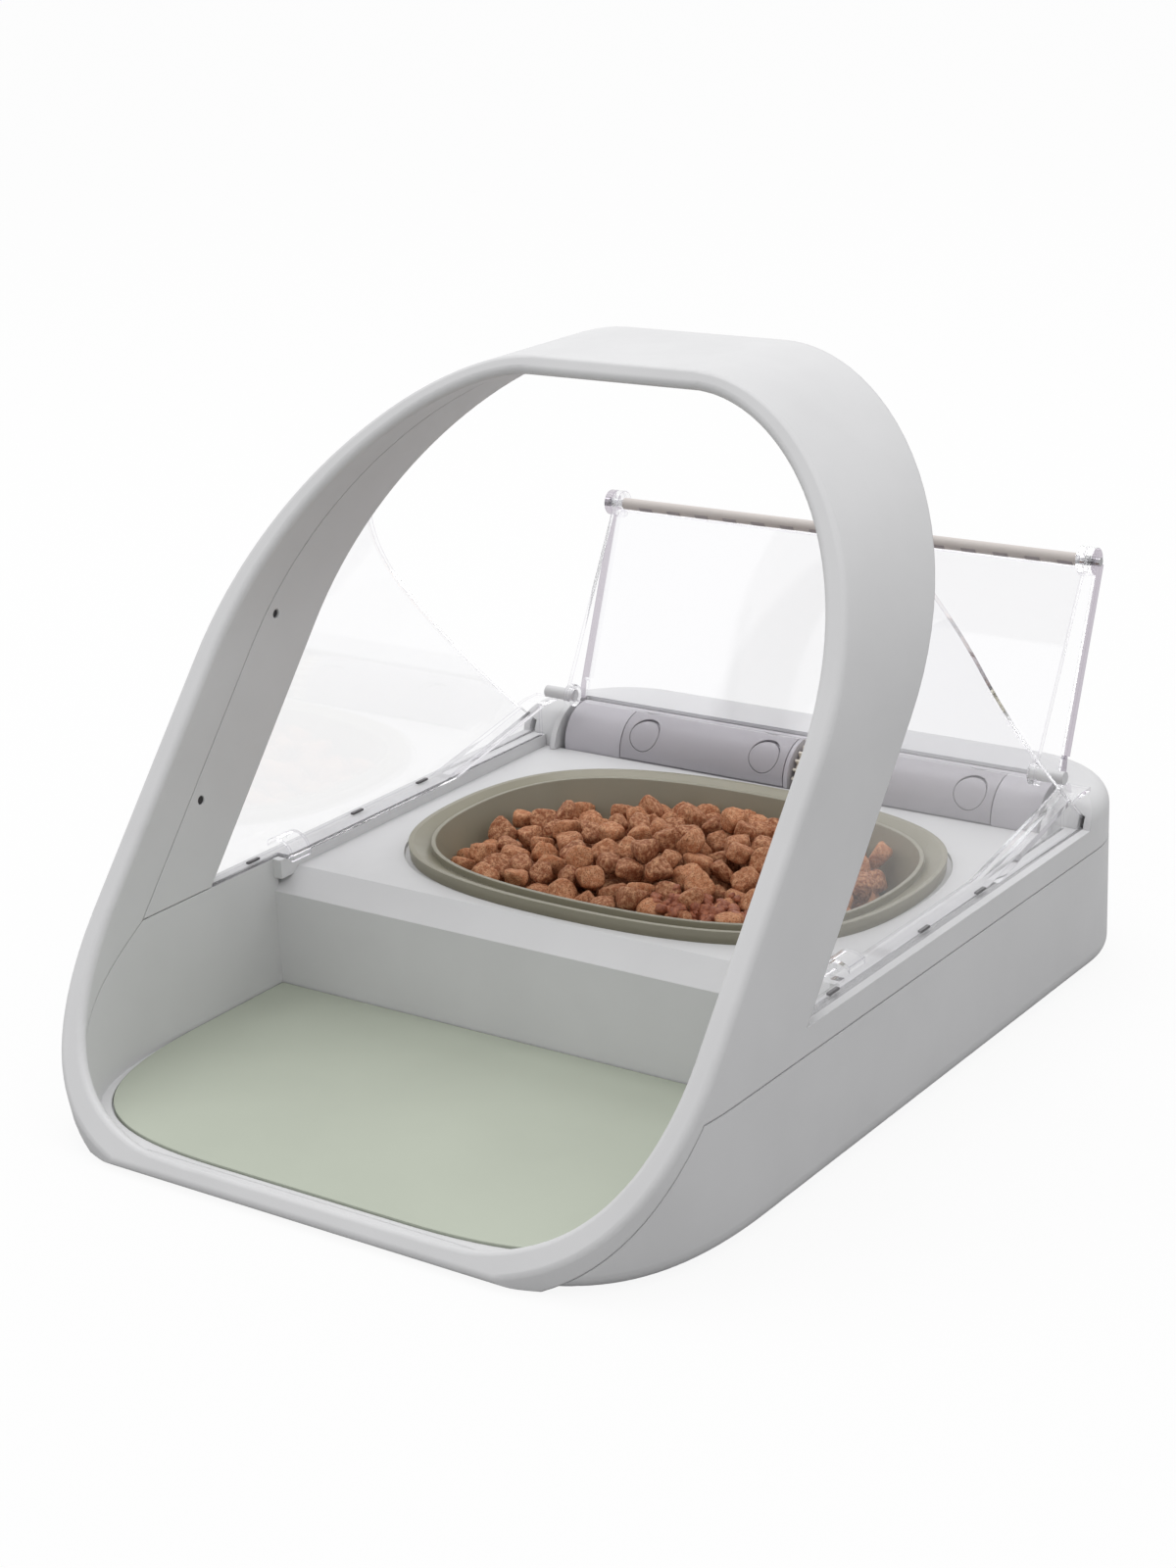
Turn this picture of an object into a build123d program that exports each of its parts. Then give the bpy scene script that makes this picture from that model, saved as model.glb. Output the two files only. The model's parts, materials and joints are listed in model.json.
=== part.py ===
"""Microchip pet feeder: a tunnel-shaped feeder with a folding clear lid over its bowl.

Millimetres, +X right, +Y to the back, +Z up. The origin is the centre of the footprint, on the
surface that the feeder stands on. Each sub-part is written to parts/NODE.step.

All heights below are measured from the underside of the casing. The feet hold that underside
GROUND_GAP above the surface, and save() lifts every sub-part by it.
"""
from build123d import *
from math import atan2, cos, degrees, hypot, radians, sin, sqrt
import os

# ---- overall ---------------------------------------------------------------------------------
LENGTH = 316.8
WIDTH = 230.0
FRONT_SETBACK = 2.2          # from the sharp corner of the ring's foot to its rounded tip
GROUND_GAP = 0.8
WALL = 2.2                   # casing wall
FLOOR_WALL = 1.7             # wall of the casing's underside
CLEAR = 0.3                  # running and seating clearance between pieces
FIT = 0.05                   # radial clearance of a shaft in its bore

FRONT_Y = -LENGTH / 2 - FRONT_SETBACK
REAR_Y = LENGTH / 2
HALF_WIDTH = WIDTH / 2

# ---- entrance arch ---------------------------------------------------------------------------
TILT = 50.5                  # slope of the front face above the horizontal
RING_SLOPE = 277.2           # height of the ring, measured along that slope
RING_FACE = 7.6              # width of the ring's front face
TOP_FLAT = 30.0              # half the flat stretch at the top of the ring
TOP_CORNER_RISE = 117.0
TOP_CORNER_PULL = 0.6
BAND_DEPTH = 52.0            # front to back, all round the arch
LIP_DEPTH = 20.0             # part of the band's inside that belongs to the ring
LINING_WALL = 2.0
RING_STRIP = 6.5             # depth of the ring's skin below the casing seam
FACE_WALL = 2.4              # thickness of the ring's front wall
EDGE_ROUND = 2.0             # rounding of the ring's front edges
SEAM_GAP = 0.5               # width of the shadow line between the two halves of the casing
SEAM_DEPTH = 0.8
SKIN_GAP = 0.35              # seams between the pieces inside the arch

# ---- base ------------------------------------------------------------------------------------
RIM_Z = 50.3
SEAM_Z = RIM_Z - 8.1         # joint between the two halves of the casing
HUMP_Z = RIM_Z + 10.2
SPLIT_Z = 60.0               # below this height the outline follows the base, above it the ring
FLOOR_FRONT_Y = FRONT_Y - 0.5
FRONT_FLARE = 8.4            # how far the front leans out by SPLIT_Z
CORNER_WIDTH = 78.4
CORNER_DEPTH = 75.0          # at the floor
CORNER_SHIFT = 25.6          # how far the corner's rear end moves forward by SPLIT_Z
CORNER_PULL = 0.75
REAR_CORNER = 39.0
FLOOR_ROUND = 6.0
HUMP_ROUND = 8.0

# ---- tray and deck ---------------------------------------------------------------------------
TRAY_DEPTH = 123.9           # from the front to the upright step below the deck
STEP_Y = FRONT_Y + TRAY_DEPTH
DECK_Z = RIM_Z - 4.3
STEP_TOP_Z = DECK_Z - 7.0
DECK_FRONT_Y = STEP_Y + 8.6
DECK_HALF_WIDTH = HALF_WIDTH - 11.0
DECK_WALL = 2.2
MAT_TOP_Z = 6.5
MAT_THICK = 2.0
MAT_FRONT_GAP = 10.0
MAT_CORNER_WIDTH = 72.0
MAT_CORNER_DEPTH = 72.0
MAT_PULL = 0.75
MAT_GAP = 0.4                # between the mat and the tray's walls
LINING_FOOT_Z = RIM_Z + SKIN_GAP     # lower end of the arch lining
LIP_BEND_Z = RIM_Z - 13.3    # where the seam between ring and tray turns to the front
LIP_START_Z = RIM_Z - 23.3   # where it reaches the front wall

# ---- barrel and hinge ------------------------------------------------------------------------
BARREL_R = 13.0
BARREL_WALL = 2.0
PANEL_HALF_WIDTH = HALF_WIDTH - 17.4
ARM_WALL = 1.8
BARREL_HALF_LENGTH = PANEL_HALF_WIDTH - ARM_WALL - CLEAR
AXIS_Y = REAR_Y - 32.1
AXIS_Z = HUMP_Z - BARREL_R
ROD_R = 2.5
EAR_X = PANEL_HALF_WIDTH + CLEAR     # inner face of each ear beside the lid's arms
CHEEK = 3.5                  # how far the ears stand out in front of the barrel
GEAR_SLOT_X = (-0.5, 15.5)
LEFT_COVER_X = (24.5 - BARREL_HALF_LENGTH, GEAR_SLOT_X[0] - 2.0)
RIGHT_COVER_X = (GEAR_SLOT_X[1] + 1.5, BARREL_HALF_LENGTH - 17.5)
COVER_WALL = 1.2
COVER_ANGLES = (-5.0, 88.0)  # degrees above the forward direction
COVER_GAP = 0.35
PLUG_R = 5.8
PLUG_ANGLE = 38.0
PLUG_INSET = PLUG_R + 3.2    # from the end of a cover plate to the middle of a plug
PLUG_GAP = 0.2
PLUG_NOTCH = 0.8             # depth of the crescent above each plug, for prying it out

# ---- folding lid -----------------------------------------------------------------------------
FOLD_Y = AXIS_Y + 26.0
FOLD_Z = AXIS_Z + 82.5
GUIDE_Y = FOLD_Y - 36.0
GUIDE_Z = FOLD_Z - 64.0
PANEL_WALL = 2.4
FRONT_PANEL_WALL = 2.2
ARM_R = 9.0
KNUCKLE_R = 4.6
KNUCKLE_WIDTH = 2.6
FOLD_PIN_R = 1.5
GUIDE_PIN_R = 2.2
GUIDE_PIN_END = HALF_WIDTH - 10.5
FRONT_PANEL_HALF_WIDTH = PANEL_HALF_WIDTH - KNUCKLE_WIDTH - 0.5
SEAL_HEIGHT = 4.2
RIB_DEPTH = 3.8

# ---- windows ---------------------------------------------------------------------------------
WINDOW_WALL = 2.0
WINDOW_INSET = 3.0           # from the casing's outer skin
WINDOW_TOP_Z = 155.0
WINDOW_TUCK = 7.0            # how far the front edge reaches into the arch
WINDOW_END_Y = GUIDE_Y + 4.0 # rear end of the window, on the rim
WINDOW_END_PULL = (42.0, 34.0)   # how far the rear curve is drawn forward and up from there
RAIL_WALL = 1.4
RAIL_RAMP = 60.0             # length of the rail's ramp, front to back
RAIL_END_Z = GUIDE_Z - GUIDE_PIN_R - 2 * CLEAR
RAIL_OVERLAP = 1.4           # how far the rail reaches inward over the deck's edge
HOOD_SHIFT = 3.0             # from the deck's front edge forward to the hood's middle
HOOD_R = 6.4
HOOD_LENGTH = 9.0
HOOD_WALL = 1.2

# ---- drive -----------------------------------------------------------------------------------
MODULE = 1.0
TOOTH_HEIGHT = 0.85          # tooth above the pitch circle, in modules
LID_GEAR_TEETH = 22
PINION_TEETH = 19
GEAR_WIDTH = 8.0
DRIVE_ANGLE = -25.9          # direction from the hinge to the pinion, above the rear direction
MOTOR_R = 7.0
SHAFT_R = 1.5

# ---- power and electronics -------------------------------------------------------------------
CELL_R = 13.1
CELL_LENGTH = 50.0
CELL_TIP = 2.0
CELL_TIP_R = 3.0
CELL_Y = AXIS_Y + 2.0
CELL_FLOOR_Z = 4.4
BOSS_R = 3.6
BOSS_TOP_Z = DECK_Z - 16.0
SCREW_R = 1.4
SCREW_HEAD_R = 2.8
SCREW_HEAD = 1.8
SCREW_HEAD_Z = 0.3
SCREW_BITE = 8.0             # length of the screw above the boss
FOOT_R = 4.6
FOOT_SINK = 1.0
FRONT_FOOT_X = HALF_WIDTH - 49.0
MIDDLE_FOOT_X = HALF_WIDTH - 23.0
REAR_FOOT_X = HALF_WIDTH - 45.0
FRONT_FOOT_INSET = 44.0
BOARD_THICK = 1.6
BOARD_X = (-64.0, -6.0)
BOARD_Y = CELL_Y + CELL_R + 2.5
BOARD_TOP_Z = SEAM_Z - 1.2
BUTTON_X = (-52.0, -20.0)
BUTTON_Z = 27.0
BUTTON_R = 4.8
BUTTON_TRAVEL = 1.5
SWITCH_HEIGHT = 4.2
LIGHT_X = -36.0
LIGHT_R = 2.0
COIL_SIZE = 1.6
COIL_GAP = 1.3               # between the coil and the casing's skin
COIL_DEPTH = 6.0
COIL_K = 9.0                 # front of the coil, behind the ring's face
SENSOR_Z = (80.6, 131.5)
SENSOR_K = 26.3
SENSOR_R = 1.5

# ---- bowl ------------------------------------------------------------------------------------
BOWL_FRONT_GAP = 4.0         # from the deck's front edge
BOWL_REAR_GAP = 9.4          # from the barrel
BOWL_HALF_DEPTH = (AXIS_Y - BARREL_R - BOWL_REAR_GAP - DECK_FRONT_Y - BOWL_FRONT_GAP) / 2
BOWL_Y = DECK_FRONT_Y + BOWL_FRONT_GAP + BOWL_HALF_DEPTH
BOWL_HALF_WIDTH = DECK_HALF_WIDTH - 13.8
BOWL_TOP_Z = DECK_Z + 3.4
BOWL_BOTTOM_Z = 9.0
BOWL_WALL = 2.0
BOWL_RIM = 6.4               # width of the rim outside the body
BOWL_SEAT_Z = DECK_Z - 1.0   # ledge in the deck that the rim rests on
SEAT_GAP = 1.4
BOWL_STEP = 2.8              # drop from the rim's lip to its inner edge
BOWL_LIP = 1.6
INNER_LIP = 1.3              # thin ridge between the rim's groove and the inside
INNER_LIP_DROP = 0.4         # from the rim's lip down to that ridge
BOWL_TAPER_X = 18.2          # rim to foot, at the sides
BOWL_TAPER_Y = 18.0
BOWL_FOOT_HALF_WIDTH = BOWL_HALF_WIDTH - BOWL_TAPER_X
BOWL_FOOT_HALF_DEPTH = BOWL_HALF_DEPTH - BOWL_TAPER_Y
WELL_GAP = 2.4               # between the bowl's foot and its well
WELL_WALL = 1.6
OVAL_PULL = 0.725            # fullness of the rounded oval

SIN_T = sin(radians(TILT))
COS_T = cos(radians(TILT))
LEAN = COS_T / SIN_T
FAR = 400.0

# ---- helpers ---------------------------------------------------------------------------------


def save(node, shape):
    """Write one sub-part, lifted to its height on the feet."""
    export_step(Pos(0, 0, GROUND_GAP) * shape, f"parts/{node}.step")


def slab(x0, x1, y0, y1, z0, z1):
    """Box between two corners."""
    return Pos((x0 + x1) / 2, (y0 + y1) / 2, (z0 + z1) / 2) * Box(x1 - x0, y1 - y0, z1 - z0)


def rod(radius, x0, x1, y, z):
    """Cylinder along X."""
    return Pos((x0 + x1) / 2, y, z) * Rot(0, 90, 0) * Cylinder(radius, x1 - x0)


def both_sides(shape):
    """A shape and its mirror image in X."""
    return shape + mirror(shape, about=Plane.YZ)


def side_profile(points, x0, x1):
    """Closed outline of (y, z) points, extruded from x0 to x1."""
    face = make_face(Polyline(*[(x0, y, z) for y, z in points], close=True))
    return extrude(face, amount=x1 - x0, dir=(1, 0, 0))


def slant(k):
    """Plane parallel to the ring's front face, k behind it; its normal points forward and up."""
    return Plane(origin=(0, FRONT_Y + k, 0), x_dir=(1, 0, 0), z_dir=(0, -SIN_T, COS_T))


def between(shape, k0, k1):
    """The part of a shape that lies between two slanted planes."""
    shape = split(shape, bisect_by=slant(k0), keep=Keep.BOTTOM)
    return split(shape, bisect_by=slant(k1), keep=Keep.TOP)


def plan_wire(inset, z):
    """Outline of the base at one height, inset from the outer skin."""
    half = HALF_WIDTH - inset
    up = z / SPLIT_Z
    front = FLOOR_FRONT_Y - FRONT_FLARE * up + inset
    corner = FLOOR_FRONT_Y + CORNER_DEPTH - CORNER_SHIFT * up
    width = CORNER_WIDTH - inset
    pull_x = half - width + CORNER_PULL * width
    pull_y = corner - CORNER_PULL * (corner - front)
    rear = REAR_Y - inset
    radius = REAR_CORNER - inset
    bend = radius * (1 - sqrt(0.5))
    return Wire([
        Edge.make_line((width - half, front, z), (half - width, front, z)),
        Edge.make_bezier((half - width, front, z), (pull_x, front, z),
                         (half, pull_y, z), (half, corner, z)),
        Edge.make_line((half, corner, z), (half, rear - radius, z)),
        Edge.make_three_point_arc((half, rear - radius, z), (half - bend, rear - bend, z),
                                  (half - radius, rear, z)),
        Edge.make_line((half - radius, rear, z), (radius - half, rear, z)),
        Edge.make_three_point_arc((radius - half, rear, z), (bend - half, rear - bend, z),
                                  (-half, rear - radius, z)),
        Edge.make_line((-half, rear - radius, z), (-half, corner, z)),
        Edge.make_bezier((-half, corner, z), (-half, pull_y, z),
                         (-pull_x, front, z), (width - half, front, z)),
    ])


def base_block(inset, z0, z1, rounding=0.0):
    """Solid of the base between two heights, inset from the outer skin."""
    block = Solid.make_loft([plan_wire(inset, z0), plan_wire(inset, z1)], True)
    if rounding:
        block = fillet(block.faces().sort_by(Axis.Z)[0].edges(), rounding)
    return block


def arch_block(inset, k0, k1):
    """Solid inside the arch above SPLIT_Z, between two slanted planes."""
    half = HALF_WIDTH - inset
    top = RING_SLOPE - inset
    shoulder = RING_SLOPE - TOP_CORNER_RISE
    foot = SPLIT_Z / SIN_T
    pull_v = shoulder + TOP_CORNER_PULL * (top - shoulder)
    pull_u = TOP_FLAT + (1 - TOP_CORNER_PULL) * (half - TOP_FLAT)
    outline = Wire([
        Edge.make_line((-half, foot), (half, foot)),
        Edge.make_line((half, foot), (half, shoulder)),
        Edge.make_bezier((half, shoulder), (half, pull_v), (pull_u, top), (TOP_FLAT, top)),
        Edge.make_line((TOP_FLAT, top), (-TOP_FLAT, top)),
        Edge.make_bezier((-TOP_FLAT, top), (-pull_u, top), (-half, pull_v), (-half, shoulder)),
        Edge.make_line((-half, shoulder), (-half, foot)),
    ])
    return extrude(slant(k0) * Face(outline), amount=k1 - k0, dir=(0, 1, 0))


def tunnel(inset, k0, k1):
    """The whole arch, from the floor up, between two slanted planes."""
    return arch_block(inset, k0, k1) + between(base_block(inset, inset * SIN_T, SPLIT_Z), k0, k1)


def slant_y(k, z):
    """Where the slanted plane k stands at a height."""
    return FRONT_Y + k + z * LEAN


def front_edges(shape):
    """Edges that lie in the ring's front plane."""
    plane = slant(0)
    return shape.edges().filter_by(
        lambda edge: all(abs(plane.to_local_coords(edge @ share).Z) < 0.01 for share in (0, 0.5, 1)))


def hump_block(inset):
    """Rear hump over the full width, its front rounded like the barrel."""
    radius = BARREL_R - inset
    front = AXIS_Y - radius
    block = base_block(inset, SEAM_Z - inset, HUMP_Z - inset) & slab(-FAR, FAR, front, FAR, 0, FAR)
    upper_edges = block.faces().sort_by(Axis.Z)[-1].edges()
    block = fillet(upper_edges.filter_by(lambda edge: edge.center().Y > front + 1), HUMP_ROUND - inset)
    nose = slab(-FAR, FAR, 0, AXIS_Y, AXIS_Z, FAR) - rod(radius, -FAR, FAR, AXIS_Y, AXIS_Z)
    return block - nose


def oval(half_x, half_y, z):
    """Rounded oval round the bowl's centre, at one height."""
    px, py = OVAL_PULL * half_x, OVAL_PULL * half_y
    corners = [(half_x, 0), (0, half_y), (-half_x, 0), (0, -half_y)]
    pulls = [((half_x, py), (px, half_y)), ((-px, half_y), (-half_x, py)),
             ((-half_x, -py), (-px, -half_y)), ((px, -half_y), (half_x, -py))]
    edges = []
    for i, (first, second) in enumerate(pulls):
        chain = [corners[i], first, second, corners[(i + 1) % 4]]
        edges.append(Edge.make_bezier(*[(x, BOWL_Y + y, z) for x, y in chain]))
    return Wire(edges)


def oval_loft(half_x0, half_y0, z0, half_x1, half_y1, z1):
    """Solid between two ovals at different heights."""
    return Solid.make_loft([oval(half_x0, half_y0, z0), oval(half_x1, half_y1, z1)], True)


def gear(teeth, width, bore, phase):
    """Spur gear about Z; phase is the direction of one tooth in degrees."""
    pitch_r = MODULE * teeth / 2
    root_r = pitch_r - 1.25 * MODULE
    tip_r = pitch_r + TOOTH_HEIGHT * MODULE
    points = []
    for i in range(teeth):
        for radius, share in ((root_r, -0.27), (tip_r, -0.11), (tip_r, 0.11), (root_r, 0.27)):
            a = radians(phase + (i + share) * 360 / teeth)
            points.append((radius * cos(a), radius * sin(a)))
    wheel = extrude(make_face(Polyline(*points, close=True)), amount=width)
    return wheel - Pos(0, 0, width / 2) * Cylinder(bore, width * 2)


def on_axis(shape, x, y, z):
    """Turn a piece built about Z so that it lies along +X, its local X pointing up."""
    return Pos(x, y, z) * Plane(origin=(0, 0, 0), x_dir=(0, 1, 0), z_dir=(1, 0, 0)).location * shape


def along_line(y0, z0, y1, z1, thick, x0, x1):
    """Flat sheet along a line in the side view, centred on the line."""
    length = hypot(y1 - y0, z1 - z0)
    ny, nz = -(z1 - z0) / length * thick / 2, (y1 - y0) / length * thick / 2
    return side_profile([(y0 + ny, z0 + nz), (y1 + ny, z1 + nz), (y1 - ny, z1 - nz), (y0 - ny, z0 - nz)],
                        x0, x1)


def barrel_sector(r0, r1, x0, x1, angle0, angle1):
    """Part of a tube round the hinge axis, between two angles above the forward direction."""
    points = [(AXIS_Y, AXIS_Z)]
    steps = 6
    for i in range(steps + 1):
        a = radians(angle0 + (angle1 - angle0) * i / steps)
        points.append((AXIS_Y - 2 * r1 * cos(a), AXIS_Z + 2 * r1 * sin(a)))
    tube = rod(r1, x0, x1, AXIS_Y, AXIS_Z) - rod(r0, x0 - 1, x1 + 1, AXIS_Y, AXIS_Z)
    return tube & side_profile(points, x0, x1)


# ---- casing ----------------------------------------------------------------------------------
BOSSES = [(side * (DECK_HALF_WIDTH - 6), y) for side in (-1, 1)
          for y in (DECK_FRONT_Y + 8, BOWL_Y + 4, AXIS_Y - 24)]
FEET = [(side * x, y) for side in (-1, 1)
        for x, y in ((FRONT_FOOT_X, FRONT_Y + FRONT_FOOT_INSET), (MIDDLE_FOOT_X, STEP_Y - 8),
                     (REAR_FOOT_X, REAR_Y - FLOOR_ROUND - CLEAR - FOOT_R))]
BAY_HALF_DEPTH = CELL_R + 0.9
BAY_X = (2.0, 2.0 + 2 * CELL_LENGTH + 3.0)     # inside of the right-hand battery bay
DRIVE_Y = AXIS_Y + MODULE * (LID_GEAR_TEETH + PINION_TEETH) / 2 * cos(radians(DRIVE_ANGLE))
DRIVE_Z = AXIS_Z + MODULE * (LID_GEAR_TEETH + PINION_TEETH) / 2 * sin(radians(DRIVE_ANGLE))
GEAR_X = GEAR_SLOT_X[0] + 1.0
GEARBOX_X = GEAR_X + GEAR_WIDTH + 3.0
TRAY_FLOOR_Z = MAT_TOP_Z - MAT_THICK
SILL_Z = RING_FACE * SIN_T                     # top of the ring's foot, and of the sill round the mat


def lip_zone(gap):
    """Side-view region of the arch's inside that belongs to the ring, not to the tray."""
    face = FACE_WALL / SIN_T
    low = LIP_START_Z - gap
    return side_profile([
        (slant_y(-5, low), low), (slant_y(face, low), low),
        (slant_y(LIP_DEPTH / 2 + gap, LIP_BEND_Z), LIP_BEND_Z), (slant_y(LIP_DEPTH + gap, RIM_Z), RIM_Z),
        (slant_y(LIP_DEPTH + gap, FAR), FAR), (slant_y(-5, FAR), FAR)], -HALF_WIDTH, HALF_WIDTH)


def make_top_cover():
    """Upper casing: entrance ring, arch, rims and rear hump in one moulding."""
    face = FACE_WALL / SIN_T
    cover = tunnel(0, 0, BAND_DEPTH) - tunnel(WALL, face, BAND_DEPTH + 8)
    under_seam = between(slab(-FAR, FAR, FRONT_Y - 9, FAR, -9, SEAM_Z), RING_STRIP, FAR)
    cover -= under_seam
    lip = tunnel(RING_FACE - LINING_WALL, face / 2, LIP_DEPTH) & lip_zone(0)
    cover = (cover + lip) - tunnel(RING_FACE, -5, BAND_DEPTH + 9)
    cover = fillet(front_edges(cover), EDGE_ROUND)
    inner = HALF_WIDTH - RING_FACE + LINING_WALL + 0.05
    rim = base_block(0, SEAM_Z, RIM_Z) - base_block(WALL, SEAM_Z - 1, RIM_Z - WALL)
    rim = between(rim, BAND_DEPTH - 1, FAR) - slab(-inner, inner, -FAR, AXIS_Y, 0, FAR)
    rim += base_block(0, SEAM_Z, RIM_Z) & slab(-FAR, FAR, AXIS_Y - BARREL_R + 0.5, FAR, 0, FAR)
    hump = rim + hump_block(0) - hump_block(WALL)
    hump -= slab(-EAR_X, EAR_X, 0, AXIS_Y + BARREL_R / 2, 0, FAR)
    hump -= rod(BARREL_R + CLEAR, -EAR_X, EAR_X, AXIS_Y, AXIS_Z)
    hump -= slab(-EAR_X, EAR_X, 0, AXIS_Y + BARREL_R + CLEAR, 0, AXIS_Z)
    hump += both_sides(hump_block(0) & slab(EAR_X, EAR_X + WALL, 0, FAR, SEAM_Z, FAR))
    cheek = rod(BARREL_R + CHEEK, EAR_X, EAR_X + WALL, AXIS_Y, HUMP_Z - BARREL_R - CHEEK)
    hump += both_sides(cheek & slab(0, FAR, 0, AXIS_Y, DECK_Z + 0.1, FAR))
    cover += hump - both_sides(window_slot())
    cover -= rod(ROD_R + FIT, -EAR_X - 1.6, EAR_X + 1.6, AXIS_Y, AXIS_Z)
    return cover


def window_slot():
    """Slot in the right side of the hump for the rear end of the window."""
    inner = HALF_WIDTH - WINDOW_INSET - WINDOW_WALL - CLEAR
    outer = HALF_WIDTH - WINDOW_INSET + CLEAR
    end = WINDOW_END_Y + CLEAR
    rise = HUMP_Z - RIM_Z
    back = rise * WINDOW_END_PULL[0] / WINDOW_END_PULL[1]
    return side_profile([(0, RIM_Z), (end, RIM_Z), (end - back, HUMP_Z), (0, HUMP_Z)], inner, outer)


def make_lower_shell():
    """Tub under the feeder, with battery bays, screw bosses and the drive's supports."""
    shell = base_block(0, 0, SEAM_Z, FLOOR_ROUND)
    shell -= base_block(WALL, FLOOR_WALL, SEAM_Z + 1, FLOOR_ROUND - WALL)
    shell = between(shell, RING_STRIP, FAR)
    for x, y in BOSSES:
        shell += Pos(x, y, (FLOOR_WALL + BOSS_TOP_Z) / 2) * Cylinder(BOSS_R, BOSS_TOP_Z - FLOOR_WALL)
    bay_y0, bay_y1 = CELL_Y - BAY_HALF_DEPTH, CELL_Y + BAY_HALF_DEPTH
    for side in (-1, 1):
        x0, x1 = sorted((side * BAY_X[0], side * BAY_X[1]))
        walls = slab(x0 - 1.5, x1 + 1.5, bay_y0 - 1.5, bay_y1 + 1.5, FLOOR_WALL, CELL_FLOOR_Z + CELL_R)
        shell += walls - slab(x0, x1, bay_y0, bay_y1, 0, FAR)
        shell -= slab(x0, x1, bay_y0, bay_y1, -1, FLOOR_WALL)
    for x in (GEARBOX_X + 3, GEARBOX_X + 20):
        shell += slab(x, x + 3, bay_y1 + 1, DRIVE_Y + MOTOR_R + 1, FLOOR_WALL, DRIVE_Z - 2)
    shell -= rod(MOTOR_R, GEARBOX_X, GEARBOX_X + 44, DRIVE_Y, DRIVE_Z)
    for x in (BOARD_X[0] + 3, BOARD_X[1] - 5):
        shell += slab(x, x + 2, BOARD_Y + BOARD_THICK, REAR_Y - WALL / 2, FLOOR_WALL, BOARD_TOP_Z - 6)
    for x in BUTTON_X:
        shell -= Pos(x, REAR_Y, BUTTON_Z) * Rot(90, 0, 0) * Cylinder(BUTTON_R + CLEAR, 12)
    shell -= Pos(LIGHT_X, REAR_Y, BUTTON_Z) * Rot(90, 0, 0) * Cylinder(LIGHT_R, 12)
    for x, y in FEET:
        shell -= Pos(x, y, FOOT_SINK / 2 - 1) * Cylinder(FOOT_R + 0.1, FOOT_SINK + 2)
    for x, y in BOSSES:
        shell -= Pos(x, y, 0) * Cylinder(SCREW_HEAD_R + 0.3, 2 * (SCREW_HEAD_Z + SCREW_HEAD))
        shell -= Pos(x, y, BOSS_TOP_Z / 2) * Cylinder(SCREW_R + FIT, BOSS_TOP_Z + 4)
    skin = base_block(0, 0, SEAM_Z, FLOOR_ROUND)
    skin -= base_block(SEAM_DEPTH, SEAM_DEPTH, SEAM_Z + 1, FLOOR_ROUND - SEAM_DEPTH)
    shell -= between(skin, RING_STRIP - 1, RING_STRIP + SEAM_GAP)
    return shell - (skin & slab(-FAR, FAR, -FAR, FAR, SEAM_Z - SEAM_GAP, FAR))


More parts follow.
